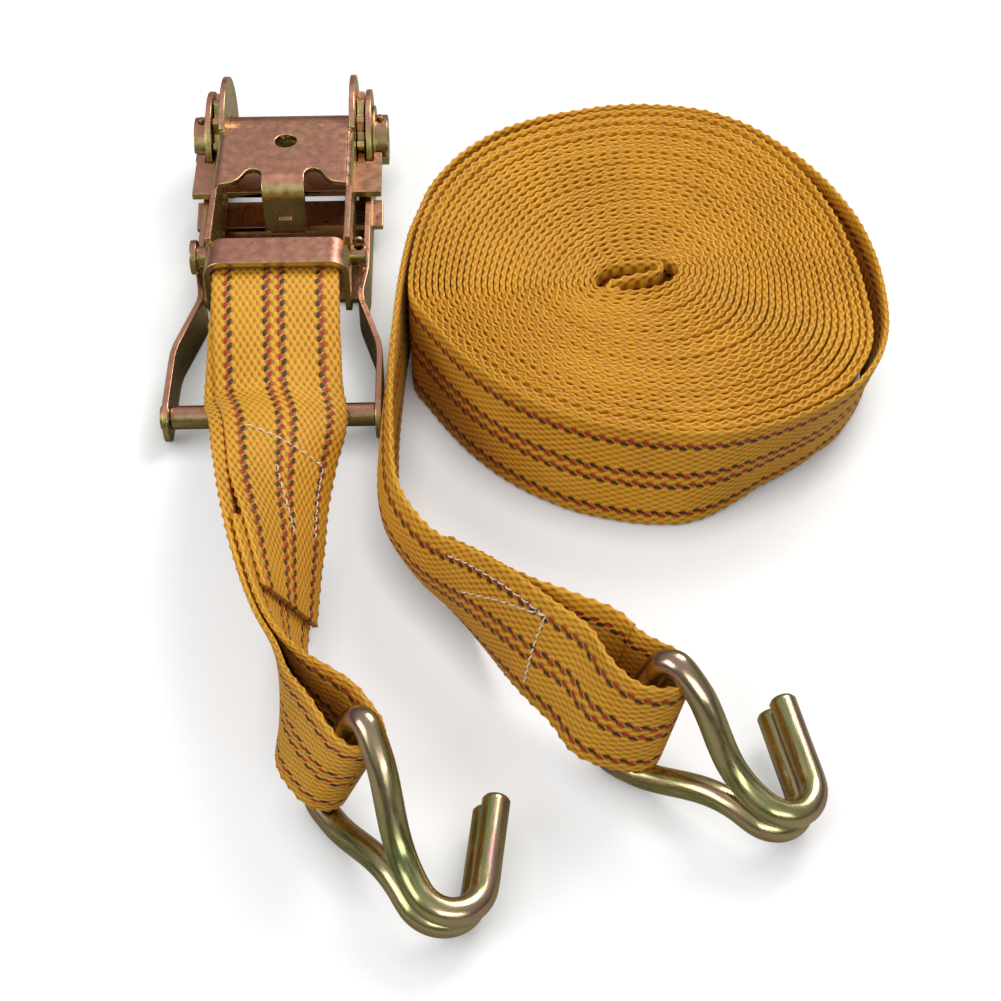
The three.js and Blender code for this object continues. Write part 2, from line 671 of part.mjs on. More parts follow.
// the long strap's edges from there to its hook: x, y, z
const LONG_LOW_EDGE = [
  [-41.68, -17.33, 0.50], [-39.56, -24.73, 0.50], [-35.42, -31.82, 0.50],
  [-30.70, -38.73, 0.50], [-26.13, -45.47, 0.50], [-21.00, -53.01, 0.47],
  [-16.36, -61.38, 2.43], [-12.23, -69.75, 4.89], [-8.21, -77.76, 7.26],
  [-4.27, -85.42, 9.36], [-0.46, -92.91, 11.10], [4.02, -100.53, 12.16],
  [9.04, -107.73, 12.42], [14.94, -113.62, 11.95], [20.76, -117.78, 10.14],
  [31.01, -119.13, 9.97],
];
const LONG_HIGH_EDGE = [
  [-41.72, -23.14, 50.16], [-40.75, -33.16, 49.77], [-37.60, -42.18, 49.37],
  [-32.74, -50.18, 49.13], [-27.10, -57.90, 48.92], [-20.99, -64.04, 49.23],
  [-15.14, -69.16, 51.81], [-9.62, -74.70, 54.57], [-3.94, -80.72, 56.99],
  [2.02, -87.19, 58.93], [8.18, -93.99, 60.34], [14.70, -100.14, 61.01],
  [22.11, -105.53, 60.63], [30.62, -109.68, 59.26], [37.86, -116.37, 57.10],
  [46.66, -121.98, 55.22],
];

// the wound coil seen from above, and the opening at its core: x, y
const COIL_OUTLINE = [
  [-35.5, 62], [-29.8, 50], [-14, 24.5], [4.5, 5], [27.7, -9.5], [55, -16.5], [80, -17.5],
  [104, -11.5], [129, 4], [141.5, 20], [147.5, 36.5], [150.0, 56], [149.8, 83],
  [145.5, 108.2], [135, 134.9], [121.5, 156], [106, 172.5], [88, 181.5], [64.6, 185],
  [38.7, 181.8], [12.8, 172.9], [-9.5, 156], [-25.5, 130], [-33.6, 98],
];
const COIL_CORE = [
  [40, 71], [46, 76.5], [56, 79], [65, 78], [66.5, 74.5], [60, 70], [50, 68], [42, 68.4],
];

// sewing threads: position along the strap in edge points, position across it from -1 to 1
const FIXED_STITCHES = [[8.5, -0.62], [9.0, 0.0], [9.5, 0.62], [11.5, 0.62], [12.5, 0.1]];
const LONG_STITCHES = [
  [13.5, 0.86], [16.0, 0.84], [18.0, 0.8], [17.0, -0.5], [15.5, 0.3], [18.0, 0.66],
];

// ---------------------------------------------------------------- webbing
const LAYER_OFFSET = (WEBBING_T + LAYER_GAP) / 2; // from the middle surface, layers closed up
const LOOP_R = ANCHOR_R + LAYER_GAP + WEBBING_T / 2; // mid-line radius round a 9 mm bar
const LOOP_OPENING = LOOP_R - LAYER_OFFSET;
const STATION_STEP = 0.5; // in edge points
const THREAD_R = 0.3;
const THREAD_LIFT = 1.2; // thread's middle line above the face of the webbing

// eases from 0 to 1 as x does, and stays there
const smooth = (x) => {
  const t = Math.min(Math.max(x, 0), 1);
  return t * t * (3 - 2 * t);
};

// The middle surface between two edges. Returns a function of the position in edge points.
function middleSurface(lows, highs) {
  const low = new THREE.CatmullRomCurve3(lows.map(vec), false, "centripetal");
  const high = new THREE.CatmullRomCurve3(highs.map(vec), false, "centripetal");
  const end = lows.length - 1;
  const across = (u) => {
    const from = low.getPoint(u / end);
    const to = high.getPoint(u / end);
    return {
      middle: from.clone().add(to).multiplyScalar(0.5),
      halfWidth: to.clone().sub(from).multiplyScalar(0.5),
    };
  };
  return (u) => {
    const nudge = 0.02;
    const { middle, halfWidth } = across(u);
    const tangent = across(Math.min(u + nudge, end)).middle
      .sub(across(Math.max(u - nudge, 0)).middle)
      .normalize();
    const normal = new THREE.Vector3().crossVectors(tangent, halfWidth).normalize();
    return { middle, halfWidth, normal, tangent };
  };
}

// A strap lying in two layers about a middle surface. offsetAt(u, end) is the distance of
// a layer from that surface. Stations are { middle, halfWidth, normal }, normal outwards.
function makeStrap(lows, highs, offsetAt) {
  const end = lows.length - 1;
  const surfaceAt = middleSurface(lows, highs);
  const offset = (u) => offsetAt(u, end);
  // the webbing is gathered to 90 % of its width at the hook
  const halfWidthAt = (u, { halfWidth }) =>
    halfWidth.clone().multiplyScalar(1 - 0.1 * smooth((u - (end - 3)) / 2.5));
  const station = (u, surface, normal, distance) => ({
    middle: surface.middle.clone().addScaledVector(normal, distance),
    halfWidth: halfWidthAt(u, surface),
    normal,
  });
  const layer = (u, face) => {
    const surface = surfaceAt(u);
    return station(u, surface, surface.normal.clone().multiplyScalar(face), offset(u));
  };
  // one layer's stations, up to but not including the last position
  const run = (from, to, face) => {
    const step = Math.sign(to - from) * STATION_STEP;
    const stations = [];
    for (let u = from; (to - u) * step > 0; u += step) stations.push(layer(u, face));
    return stations;
  };
  // half a turn round a bar
  const turn = (u, fromAngle) => Array.from({ length: 9 }, (_, i) => {
    const surface = surfaceAt(u);
    const angle = fromAngle - (Math.PI * (i + 1)) / 10;
    const normal = surface.normal.clone().multiplyScalar(Math.sin(angle))
      .addScaledVector(surface.tangent, Math.cos(angle));
    return station(u, surface, normal, LOOP_R);
  });
  return { surfaceAt, end, offset, layer, run, turn };
}

// a strap lofted through stations
function ribbon(stations) {
  const positions = [];
  for (const { middle, halfWidth, normal } of stations) {
    for (const [across, out] of [[-1, -1], [1, -1], [1, 1], [-1, 1]]) {
      const corner = middle.clone()
        .addScaledVector(halfWidth, across)
        .addScaledVector(normal, (out * WEBBING_T) / 2);
      positions.push(...corner.toArray());
    }
  }
  const index = [];
  const last = (stations.length - 1) * 4;
  for (let first = 0; first < last; first += 4) {
    for (let k = 0; k < 4; k++) {
      const here = first + k;
      const beside = first + ((k + 1) % 4);
      index.push(here, here + 4, beside, beside, here + 4, beside + 4);
    }
  }
  index.push(0, 1, 2, 0, 2, 3, last, last + 2, last + 1, last, last + 3, last + 2);
  const geometry = new THREE.BufferGeometry();
  geometry.setAttribute("position", new THREE.Float32BufferAttribute(positions, 3));
  geometry.setIndex(index);
  // turn the faces outwards if the stations run the other way round
  if (toSolid(geometry).volume() < 0) {
    for (let i = 0; i < index.length; i += 3) {
      [index[i + 1], index[i + 2]] = [index[i + 2], index[i + 1]];
    }
    geometry.setIndex(index);
  }
  geometry.computeVertexNormals();
  return geometry;
}

function buildFixedStrap() {
  const leadEdge = (x) => FIXED_LEAD.map(([along, z]) => [x, SPOOL_Y - along, z]);
  const strap = makeStrap(
    [...leadEdge(RATCHET_X - WEBBING_W / 2), ...FIXED_LEFT_EDGE],
    [...leadEdge(RATCHET_X + WEBBING_W / 2), ...FIXED_RIGHT_EDGE],
    (u, end) => LAYER_OFFSET
      + LOOP_OPENING * (1 - smooth(u / 2.0))
      + LOOP_OPENING * smooth((u - (end - 3.2)) / 3.2),
  );
  const { end, layer, run, turn } = strap;
  // underneath back to the pin, round it, along the top, round the hook, back underneath
  const stations = [
    ...run(end * 0.46, 0, -1),
    layer(0, -1),
    ...turn(0, -Math.PI / 2),
    ...run(0, end, 1),
    layer(end, 1),
    ...turn(end, Math.PI / 2),
    ...run(end, end * 0.5, -1),
  ];
  addMesh(layout, "fixed_strap", ribbon(stations), "webbing");
  return strap;
}

// evenly spaced points round a smooth closed curve
function closedOutline(points, count) {
  const curve = new THREE.CatmullRomCurve3(
    points.map(([x, y]) => vec([x, y, 0])), true, "centripetal",
  );
  return curve.getSpacedPoints(count).slice(0, count).map(({ x, y }) => new THREE.Vector2(x, y));
}

function coilSolid() {
  const shape = new THREE.Shape(closedOutline(COIL_OUTLINE, 72));
  shape.holes.push(new THREE.Path(closedOutline(COIL_CORE, 20)));
  return toSolid(new THREE.ExtrudeGeometry(shape, {
    depth: WEBBING_W, bevelEnabled: false, steps: 1,
  }));
}

function buildLongStrap() {
  const startEdge = (z) => TAIL_START.map(([x, y]) => [x, y, z]);
  const strap = makeStrap(
    [...startEdge(TAIL_START_Z), ...LONG_LOW_EDGE],
    [...startEdge(TAIL_START_Z + WEBBING_W), ...LONG_HIGH_EDGE],
    (u, end) => LAYER_OFFSET * smooth((u - (end - 11)) / 3)
      + LOOP_OPENING * smooth((u - (end - 7)) / 7),
  );
  const { end, layer, run, turn } = strap;
  // out from the coil, round the hook, and back
  const tail = toSolid(ribbon([
    ...run(0, end, 1),
    layer(end, 1),
    ...turn(end, Math.PI / 2),
    ...run(end, end - 10, -1),
  ]));
  addMesh(layout, "long_strap", toGeometry(coilSolid().add(tail)), "webbing");
  return strap;
}

// one thread following a table of stitches, over the layer on the normal's side
function buildStitching(name, { surfaceAt, offset }, stitches) {
  const points = [];
  for (let i = 0; i < stitches.length - 1; i++) {
    const [u0, v0] = stitches[i];
    const [u1, v1] = stitches[i + 1];
    const steps = Math.max(1, Math.round(Math.abs(u1 - u0) * 2));
    for (let k = i ? 1 : 0; k <= steps; k++) {
      const u = u0 + ((u1 - u0) * k) / steps;
      const v = v0 + ((v1 - v0) * k) / steps;
      const { middle, halfWidth, normal } = surfaceAt(u);
      points.push(middle.clone()
        .addScaledVector(halfWidth, v)
        .addScaledVector(normal, offset(u) + WEBBING_T / 2 + THREAD_LIFT));
    }
  }
  addMesh(layout, name, roundBar(points, THREAD_R, 5, 1), "thread");
}

// ---------------------------------------------------------------- assembly
buildFrame();
buildHandle();
buildCrossbar();
buildSpool();
buildLockPawl();
buildDrivePawl();
buildAnchorPin();
buildSplitPin();
buildHook("fixed_hook", FIXED_HOOK);
buildHook("long_hook", LONG_HOOK);
const fixedStrap = buildFixedStrap();
const longStrap = buildLongStrap();
buildStitching("fixed_strap_stitching", fixedStrap, FIXED_STITCHES);
buildStitching("long_strap_stitching", longStrap, LONG_STITCHES);

export default part;
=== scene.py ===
import math
from collections import namedtuple

import bmesh
import bpy
import numpy as np
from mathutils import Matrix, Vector, noise
from mathutils.bvhtree import BVHTree


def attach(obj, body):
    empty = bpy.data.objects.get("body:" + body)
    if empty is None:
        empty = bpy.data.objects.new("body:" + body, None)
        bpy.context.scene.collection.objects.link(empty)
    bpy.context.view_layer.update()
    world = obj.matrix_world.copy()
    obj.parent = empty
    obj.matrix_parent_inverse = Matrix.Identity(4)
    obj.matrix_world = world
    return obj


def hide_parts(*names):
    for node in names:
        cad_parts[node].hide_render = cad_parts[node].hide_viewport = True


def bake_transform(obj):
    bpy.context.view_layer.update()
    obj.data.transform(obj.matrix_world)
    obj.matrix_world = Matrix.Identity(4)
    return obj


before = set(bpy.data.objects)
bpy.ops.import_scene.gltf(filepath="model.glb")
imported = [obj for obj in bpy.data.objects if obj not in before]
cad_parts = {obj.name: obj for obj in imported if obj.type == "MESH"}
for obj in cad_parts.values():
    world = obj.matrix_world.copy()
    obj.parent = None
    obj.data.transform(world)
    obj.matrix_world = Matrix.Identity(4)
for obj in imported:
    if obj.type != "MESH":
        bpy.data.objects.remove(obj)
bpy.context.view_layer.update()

# ------------------------------------------------------------------ shared dimensions
ORIGIN = np.array([10.14, 19.17, 0.0])   # layout point that is the row frame's origin

# ratchet: s is the distance from the spool axis towards the fixed strap (-y)
RATCHET_X, SPOOL_Y, SPOOL_Z = -86.7, 199.5, 22.0
ANCHOR_S, ANCHOR_Z = 87.0, 28.0
DRIVE_PAWL_ANGLE = 0.30
LOCK_PAWL_Z = 26.0

# webbing
HALF_W = 25.0
WARP_COLUMNS = 36
COLUMN = 2 * HALF_W / WARP_COLUMNS   # width of one warp column
PITCH = 2.6          # length of one float of the weave
ROW_STEP = PITCH / 3
WEB_T = 1.75         # thickness without the weave's bumps
RELIEF = 0.25        # height of the weave's bumps
LAYER_OFFSET = 1.3   # from the middle surface to each of two layers lying together
LAP = 1.0            # overlap of two pieces of webbing where one takes over from the other

WIRE_R = 4.5         # hook bar radius

# hook poses: middle of the straight bar, direction of the bar, direction of the legs
FIXED_HOOK = ([-55.08, -136.76, 32.6], [0.3271, -0.1427, 0.9342], [0.4712, -0.8322, -0.2921])
LONG_HOOK = ([38.84, -120.55, 32.8], [0.3263, -0.0595, 0.9434], [0.7372, -0.6086, -0.2934])


# ------------------------------------------------------------------ vectors and curves
def unit(vectors):
    vectors = np.asarray(vectors, float)
    return vectors / np.maximum(np.linalg.norm(vectors, axis=-1, keepdims=True), 1e-12)


def smooth(x):
    """Smoothstep from 0 to 1."""
    t = np.clip(x, 0.0, 1.0)
    return t * t * (3 - 2 * t)


def soften(values, passes, keep_unit=False):
    """Average each row with its neighbours, leaving both ends."""
    values = values.copy()
    for _ in range(passes):
        inside = (values[:-2] + 2 * values[1:-1] + values[2:]) / 4
        values[1:-1] = unit(inside) if keep_unit else inside
    return values


def catmull(points, u):
    """Centripetal Catmull-Rom curve through points; u counts points."""
    points = np.asarray(points, float)
    spans = len(points) - 1
    u = np.clip(np.asarray(u, float), 0, spans)
    i = np.clip(np.floor(u).astype(int), 0, spans - 1)
    w = (u - i)[:, None]
    padded = np.vstack([2 * points[0] - points[1], points, 2 * points[-1] - points[-2]])
    before, start, end, after = (padded[i + k] for k in range(4))

    def knot(p, q):
        return np.maximum(np.linalg.norm(q - p, axis=1) ** 0.5, 1e-4)[:, None]

    k0, k1, k2 = knot(before, start), knot(start, end), knot(end, after)
    leave = ((start - before) / k0 - (end - before) / (k0 + k1) + (end - start) / k1) * k1
    arrive = ((end - start) / k1 - (after - start) / (k1 + k2) + (after - end) / k2) * k1
    return (start + leave * w + (-3 * start + 3 * end - 2 * leave - arrive) * w ** 2
            + (2 * start - 2 * end + leave + arrive) * w ** 3)


def resample(values, s, new_s):
    return np.stack([np.interp(new_s, s, values[:, k]) for k in range(values.shape[1])], axis=1)


def arc_length(points):
    steps = np.linalg.norm(np.diff(points, axis=0), axis=1)
    return np.concatenate([[0], np.cumsum(steps)])


def by_station(s, table):
    """Interpolate a table of (station, value) pairs."""
    stations, values = zip(*table)
    return np.interp(s, stations, values)


def to_frame(points):
    """Layout mm to the row frame's metres."""
    return (np.asarray(points, float) - ORIGIN) / 1000.0


def ratchet_point(x, s, z):
    return np.array([RATCHET_X + x, SPOOL_Y - s, z])


# ------------------------------------------------------------------ meshes
def make_object(name, points, quads, caps, uv=None, relief=None):
    """Mesh object from layout points, quads (m, 4) and n-gon caps; uv and relief are per vertex."""
    mesh = bpy.data.meshes.new(name)
    coords = to_frame(points).astype(np.float32)
    corners = np.concatenate([quads.ravel()] + caps).astype(np.int32)
    sizes = [4] * len(quads) + [len(cap) for cap in caps]
    starts = np.concatenate([[0], np.cumsum(sizes)[:-1]]).astype(np.int32)
    mesh.vertices.add(len(coords))
    mesh.vertices.foreach_set("co", coords.ravel())
    mesh.loops.add(len(corners))
    mesh.loops.foreach_set("vertex_index", corners)
    mesh.polygons.add(len(starts))
    mesh.polygons.foreach_set("loop_start", starts)
    mesh.update(calc_edges=True)
    mesh.validate()
    mesh.polygons.foreach_set("use_smooth", np.full(len(mesh.polygons), True))
    if uv is not None:
        layer = mesh.uv_layers.new(name="wm")
        index = np.zeros(len(mesh.loops), np.int32)
        mesh.loops.foreach_get("vertex_index", index)
        layer.data.foreach_set("uv", np.asarray(uv, np.float32)[index].ravel())
    if relief is not None:
        attribute = mesh.attributes.new("relief", "FLOAT", "POINT")
        attribute.data.foreach_set("value", np.asarray(relief, np.float32).ravel())
    ob = bpy.data.objects.new(name, mesh)
    bpy.context.scene.collection.objects.link(ob)
    fix_normals(mesh)
    return ob


def fix_normals(mesh):
    bm = bmesh.new()
    bm.from_mesh(mesh)
    bmesh.ops.recalc_face_normals(bm, faces=bm.faces)
    bm.to_mesh(mesh)
    bm.free()
    mesh.update()


def tube_faces(rows, ring, start=0):
    """Side quads and both end caps of a tube of `rows` rings of `ring` points."""
    row = start + np.arange(rows - 1)[:, None] * ring
    here = np.arange(ring)[None, :]
    after = (here + 1) % ring
    quads = np.stack([row + here, row + after, row + ring + after, row + ring + here], axis=-1)
    first = start + np.arange(ring)
    return quads.reshape(-1, 4), [first[::-1], first + (rows - 1) * ring]


def round_rings(centres, radii, side_a, side_b, angles):
    """Rings of points round the centres, in the plane of side_a and side_b."""
    spokes = (side_a[:, None, :] * np.cos(angles)[None, :, None]
              + side_b[:, None, :] * np.sin(angles)[None, :, None])
    return centres[:, None, :] + radii[:, None, None] * spokes


def tube(name, path, radii, sides):
    """Round bar along a path, with flat ends; radii is one value or one per path point."""
    path = np.asarray(path, float)
    travel = unit(np.gradient(path, axis=0))
    upright = abs(travel[0][2]) >= 0.9
    reference = np.array([1.0, 0.0, 0.0]) if upright else np.array([0.0, 0.0, 1.0])
    side_a = [unit(np.cross(travel[0], reference))]
    for k in range(1, len(path)):   # carry the side vector along without twist
        side_a.append(unit(side_a[-1] - travel[k] * np.dot(side_a[-1], travel[k])))
    side_a = np.array(side_a)
    side_b = np.cross(travel, side_a)
    angles = np.linspace(0, 2 * math.pi, sides, endpoint=False)
    radii = np.broadcast_to(np.asarray(radii, float), (len(path),))
    points = round_rings(path, radii, side_a, side_b, angles)
    shape = points.shape[:2]
    # u separates the sides of the bar and v is the length along it
    u = np.broadcast_to(np.cos(angles)[None, :] * 3.0 + np.sin(angles)[None, :], shape)
    v = np.broadcast_to(arc_length(path)[:, None], shape)
    quads, caps = tube_faces(len(path), sides)
    uv = np.stack([u, v], axis=-1).reshape(-1, 2)
    return make_object(name, points.reshape(-1, 3), quads, caps, uv)


# ------------------------------------------------------------------ materials
class Graph:
    """A new material and short ways to add nodes to it."""

    def __init__(self, name):
        self.mat = bpy.data.materials.new(name)
        self.mat.use_nodes = True
        self.tree = self.mat.node_tree
        self.bsdf = self.tree.nodes["Principled BSDF"]

    def node(self, kind, inputs=None, **props):
        node = self.tree.nodes.new(kind)
        for key, value in props.items():
            setattr(node, key, value)
        for key, value in (inputs or {}).items():
            self.put(node.inputs[key], value)
        return node

    def put(self, socket, value):
        if isinstance(value, bpy.types.NodeSocket):
            self.tree.links.new(value, socket)
        else:
            socket.default_value = value

    def shade(self, inputs):
        """Set the Principled BSDF's inputs and return the material."""
        for key, value in inputs.items():
            self.put(self.bsdf.inputs[key], value)
        return self.mat

    def math(self, operation, *values):
        return self.node("ShaderNodeMath", dict(enumerate(values)), operation=operation).outputs[0]

    def add(self, a, b):
        return self.math("ADD", a, b)

    def multiply(self, a, b):
        return self.math("MULTIPLY", a, b)

    def swing(self, value, amount):
        """A 0 to 1 noise centred on zero and scaled by amount."""
        return self.multiply(self.math("SUBTRACT", value, 0.5), amount)

    def step(self, value, start, end, low=0.0, high=1.0):
        """Smoothstep from low, at start, to high, at end."""
        node = self.node("ShaderNodeMapRange", {
            "Value": value, "From Min": start, "From Max": end, "To Min": low, "To Max": high,
        }, interpolation_type="SMOOTHSTEP")
        return node.outputs["Result"]

    def mix(self, factor, a, b):
        node = self.node("ShaderNodeMix", data_type="RGBA", clamp_factor=True)
        self.put(node.inputs[0], factor)
        for i, colour in ((6, a), (7, b)):
            is_socket = isinstance(colour, bpy.types.NodeSocket)
            self.put(node.inputs[i], colour if is_socket else (*colour, 1.0))
        return node.outputs[2]

    def ramp(self, factor, stops):
        node = self.node("ShaderNodeValToRGB")
        elements = node.color_ramp.elements
        while len(elements) < len(stops):
            elements.new(0.5)
        for element, (position, colour) in zip(elements, stops):
            element.position = position
            element.color = (*colour, 1.0)
        self.put(node.inputs[0], factor)
        return node.outputs[0]

    def noise(self, vector, scale, detail=3.0, rough=0.55):
        return self.node("ShaderNodeTexNoise", {
            "Scale": scale, "Detail": detail, "Roughness": rough, "Vector": vector,
        }).outputs["Fac"]

    def stretched(self, u, v, u_scale, v_scale, z=0.0):
        """Noise coordinates from two scaled values; z picks a separate slice of the noise."""
        x, y = self.multiply(u, u_scale), self.multiply(v, v_scale)
        return self.node("ShaderNodeCombineXYZ", {0: x, 1: y, 2: z}).outputs[0]

    def split(self, vector):
        return self.node("ShaderNodeSeparateXYZ", {0: vector}).outputs

    def object_coords(self):
        return self.node("ShaderNodeTexCoord").outputs["Object"]

    def uv_split(self):
        return self.split(self.node("ShaderNodeUVMap", uv_map="wm").outputs[0])

    def bump(self, height, distance, strength):
        return self.node("ShaderNodeBump", {
            "Strength": strength, "Distance": distance, "Height": height,
        }).outputs[0]


STRIPE_RED, STRIPE_BLACK = (0.30, 0.022, 0.012), (0.040, 0.010, 0.006)
# warp column and colour of each striped yarn
STRIPES = (
    (4, STRIPE_RED), (5, STRIPE_BLACK), (15, STRIPE_BLACK), (16, STRIPE_RED),
    (19, STRIPE_RED), (20, STRIPE_BLACK), (30, STRIPE_BLACK), (31, STRIPE_RED),
)


def webbing_stripe(g, base, across, along, yarn, column, colour):
    """One dashed warp stripe: the coloured yarn shows only where it floats on top."""
    side_wobble, slant_slope, end_rounding = 0.5, 0.55, 0.75
    wobble = g.swing(yarn, side_wobble)
    off = g.math("SUBTRACT", g.add(across, wobble), column * COLUMN)
    slant = g.add(along, g.multiply(off, slant_slope))
    phase = 0.0 if column % 2 == 0 else math.pi
    wave = g.math("COSINE", g.add(g.multiply(slant, math.pi / PITCH), phase))
    rounding = g.multiply(g.multiply(off, off), end_rounding)
    mask = g.step(g.math("SUBTRACT", wave, rounding), start=-0.42, end=-0.12)
    mask = g.multiply(mask, g.step(g.math("ABSOLUTE", off), start=1.15, end=0.85))
    fleck = g.step(yarn, start=0.66, end=0.8, low=1.0, high=0.6)
    return g.mix(g.multiply(mask, fleck), base, colour)


def webbing_material():
    g = Graph("webbing")
    across, along, _ = g.uv_split()
    position = g.object_coords()
    relief = g.node("ShaderNodeAttribute", attribute_name="relief").outputs["Fac"]
    big = g.noise(position, scale=28.0)
    patch_coords = g.stretched(across, along, u_scale=0.35, v_scale=0.35)
    patches = g.noise(patch_coords, scale=1.0, detail=4.0)
    yarn_coords = g.stretched(across, along, u_scale=5.2, v_scale=0.9, z=3.0)
    yarn = g.noise(yarn_coords, scale=1.0, detail=4.0, rough=0.7)

    # the first colour is painted shade for the weave's hollows, the second the yarn's own colour on
    # its crests, the third a painted highlight
    hollow_painted_shade, crest, painted_glint = (0.25, 0.078, 0.004), (0.69, 0.335, 0.020), (0.98, 0.66, 0.10)
    dull, bright = (0.60, 0.26, 0.012), (0.86, 0.45, 0.035)
    # painted shade: the hollows of the weave are coloured darker than its crests
    base = g.mix(g.step(relief, start=-0.9, end=0.35), hollow_painted_shade, crest)
    # painted highlight: bright glints on the yarn at the crests of the weave
    painted_glint_mask = g.multiply(g.step(yarn, start=0.52, end=0.75),
                          g.step(relief, start=0.1, end=0.9, high=0.55))
    base = g.mix(painted_glint_mask, base, painted_glint)
    base = g.mix(g.step(patches, start=0.35, end=0.7, high=0.30), base, dull)
    base = g.mix(g.step(big, start=0.35, end=0.7, high=0.25), base, bright)
    for column, colour in STRIPES:
        base = webbing_stripe(g, base, across, along, yarn, column, colour)
    return g.shade({
        "Base Color": base,
        "Roughness": g.step(yarn, start=0.3, end=0.8, low=0.50, high=0.30),
        "Specular IOR Level": 0.6,
        "Specular Tint": (1.0, 0.85, 0.50, 1.0),
        "Sheen Weight": 0.16,
        "Sheen Roughness": 0.4,
        "Sheen Tint": (1.0, 0.80, 0.45, 1.0),
        "Normal": g.bump(yarn, distance=0.00022, strength=0.8),
    })


# ramp stops (position, colour): olive and yellow, then rose-copper
ZINC_TONES = (
    (0.0, (0.24, 0.22, 0.07)), (0.22, (0.42, 0.36, 0.13)), (0.42, (0.56, 0.46, 0.19)),
    (0.60, (0.70, 0.40, 0.24)), (0.80, (0.72, 0.34, 0.24)), (1.0, (0.55, 0.25, 0.22)),
)


def zinc_material(name, brightness, rough):
    """Yellow zinc passivation, mottled by noise, with painted light: faces turned up are shown
    rose-copper, the others olive and yellow.
    """
    g = Graph(name)
    coords = g.node("ShaderNodeTexCoord")
    position = coords.outputs["Object"]
    _, _, normal_z = g.split(coords.outputs["Normal"])
    cloud = g.noise(position, scale=42.0, detail=4.0, rough=0.6)
    fine = g.noise(position, scale=260.0, detail=4.0, rough=0.65)

    # place on the ramp: a start value, plus shares of the painted light on faces turned up and of
    # each noise
    ramp_start, painted_upward_light_share, cloud_share, fine_share = 0.30, 0.46, 0.50, 0.07
    # painted light: faces turned up are moved towards a lighter rose-copper
    painted_upward_light = g.step(normal_z, start=0.45, end=0.97)
    tone = g.add(g.multiply(painted_upward_light, painted_upward_light_share), g.swing(cloud, cloud_share))
    tone = g.add(g.add(tone, g.swing(fine, fine_share)), ramp_start)
    stops = [(at, tuple(part * brightness for part in colour)) for at, colour in ZINC_TONES]
    colour = g.ramp(tone, stops)

    # worn, brighter edges, found where the bevelled normal leaves the true one
    worn_colour = (0.78, 0.72, 0.26)
    bevel = g.node("ShaderNodeBevel", {"Radius": 0.0007}, samples=6)
    geometry = g.node("ShaderNodeNewGeometry")
    normals = {0: bevel.outputs[0], 1: geometry.outputs["Normal"]}
    dot = g.node("ShaderNodeVectorMath", normals, operation="DOT_PRODUCT")
    edge = g.step(dot.outputs["Value"], start=0.985, end=0.86, high=0.8)
    edge = g.multiply(edge, g.step(fine, start=0.30, end=0.60))

    grain = g.node("ShaderNodeMapping", {"Vector": position, "Scale": (900.0, 120.0, 900.0)})
    scratches = g.noise(grain.outputs[0], scale=1.0)
    return g.shade({
        "Base Color": g.mix(edge, colour, worn_colour),
        "Metallic": 1.0,
        "Roughness": g.step(fine, start=0.3, end=0.7, low=rough - 0.06, high=rough + 0.12),
        "Normal": g.bump(scratches, distance=0.00002, strength=0.3),
    })


# ramp stops (position, colour): green, olive, then rose
BAR_TONES = (
    (0.0, (0.19, 0.24, 0.10)), (0.25, (0.38, 0.38, 0.16)), (0.45, (0.52, 0.45, 0.24)),
    (0.65, (0.50, 0.35, 0.24)), (0.85, (0.46, 0.25, 0.25)), (1.0, (0.30, 0.16, 0.20)),
)


def bar_material(name):
    """Plated bent bar: bright, with rose, green and olive bands drawn out along its length."""
    g = Graph(name)
    around, along, _ = g.uv_split()
    position = g.object_coords()
    band = g.noise(g.stretched(around, along, u_scale=0.42, v_scale=0.022), scale=1.0)
    fine_coords = g.stretched(around, along, u_scale=3.0, v_scale=0.12, z=5.0)
    fine = g.noise(fine_coords, scale=1.0, detail=4.0)
    cloud = g.noise(position, scale=60.0)

    # place on the ramp: a start value plus a share of each noise
    ramp_start, band_share, fine_share, cloud_share = 0.42, 2.0, 0.6, 0.7
    tone = g.add(g.swing(band, band_share), g.swing(fine, fine_share))
    tone = g.add(tone, g.add(ramp_start, g.swing(cloud, cloud_share)))
    return g.shade({
        "Base Color": g.ramp(tone, BAR_TONES),
        "Metallic": 1.0,
        "Roughness": g.step(fine, start=0.3, end=0.7, low=0.17, high=0.30),
        "Normal": g.bump(fine, distance=0.00010, strength=0.35),
    })


def thread_material():
    g = Graph("thread")
    fibres = g.noise(g.object_coords(), scale=1500.0, detail=2.0)
    shade, light = (0.62, 0.52, 0.36), (0.88, 0.82, 0.70)
    return g.shade({
        "Base Color": g.mix(g.step(fibres, start=0.35, end=0.65), shade, light),
        "Roughness": 0.45,
        "Sheen Weight": 0.2,
        "Normal": g.bump(fibres, distance=0.0001, strength=0.4),
    })


# one material for each slot
MATERIALS = {
    "webbing": webbing_material(),
    "zinc_plate": zinc_material("zinc_plate", brightness=1.0, rough=0.30),
    "zinc_pins": zinc_material("zinc_pins", brightness=0.85, rough=0.26),
    "hook_bar": bar_material("hook_bar"),
    "spring_steel": bar_material("spring_steel"),
    "thread": thread_material(),
}


def paint(ob, slot):
    ob.data.materials.clear()
    ob.data.materials.append(MATERIALS[slot])


def dress(ob, slot, body, replaced=None):
    """Paint a piece, let it ride on its body and, if named, take the place of a CAD node."""
    paint(ob, slot)
    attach(ob, body)
    if replaced:
        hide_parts(replaced)


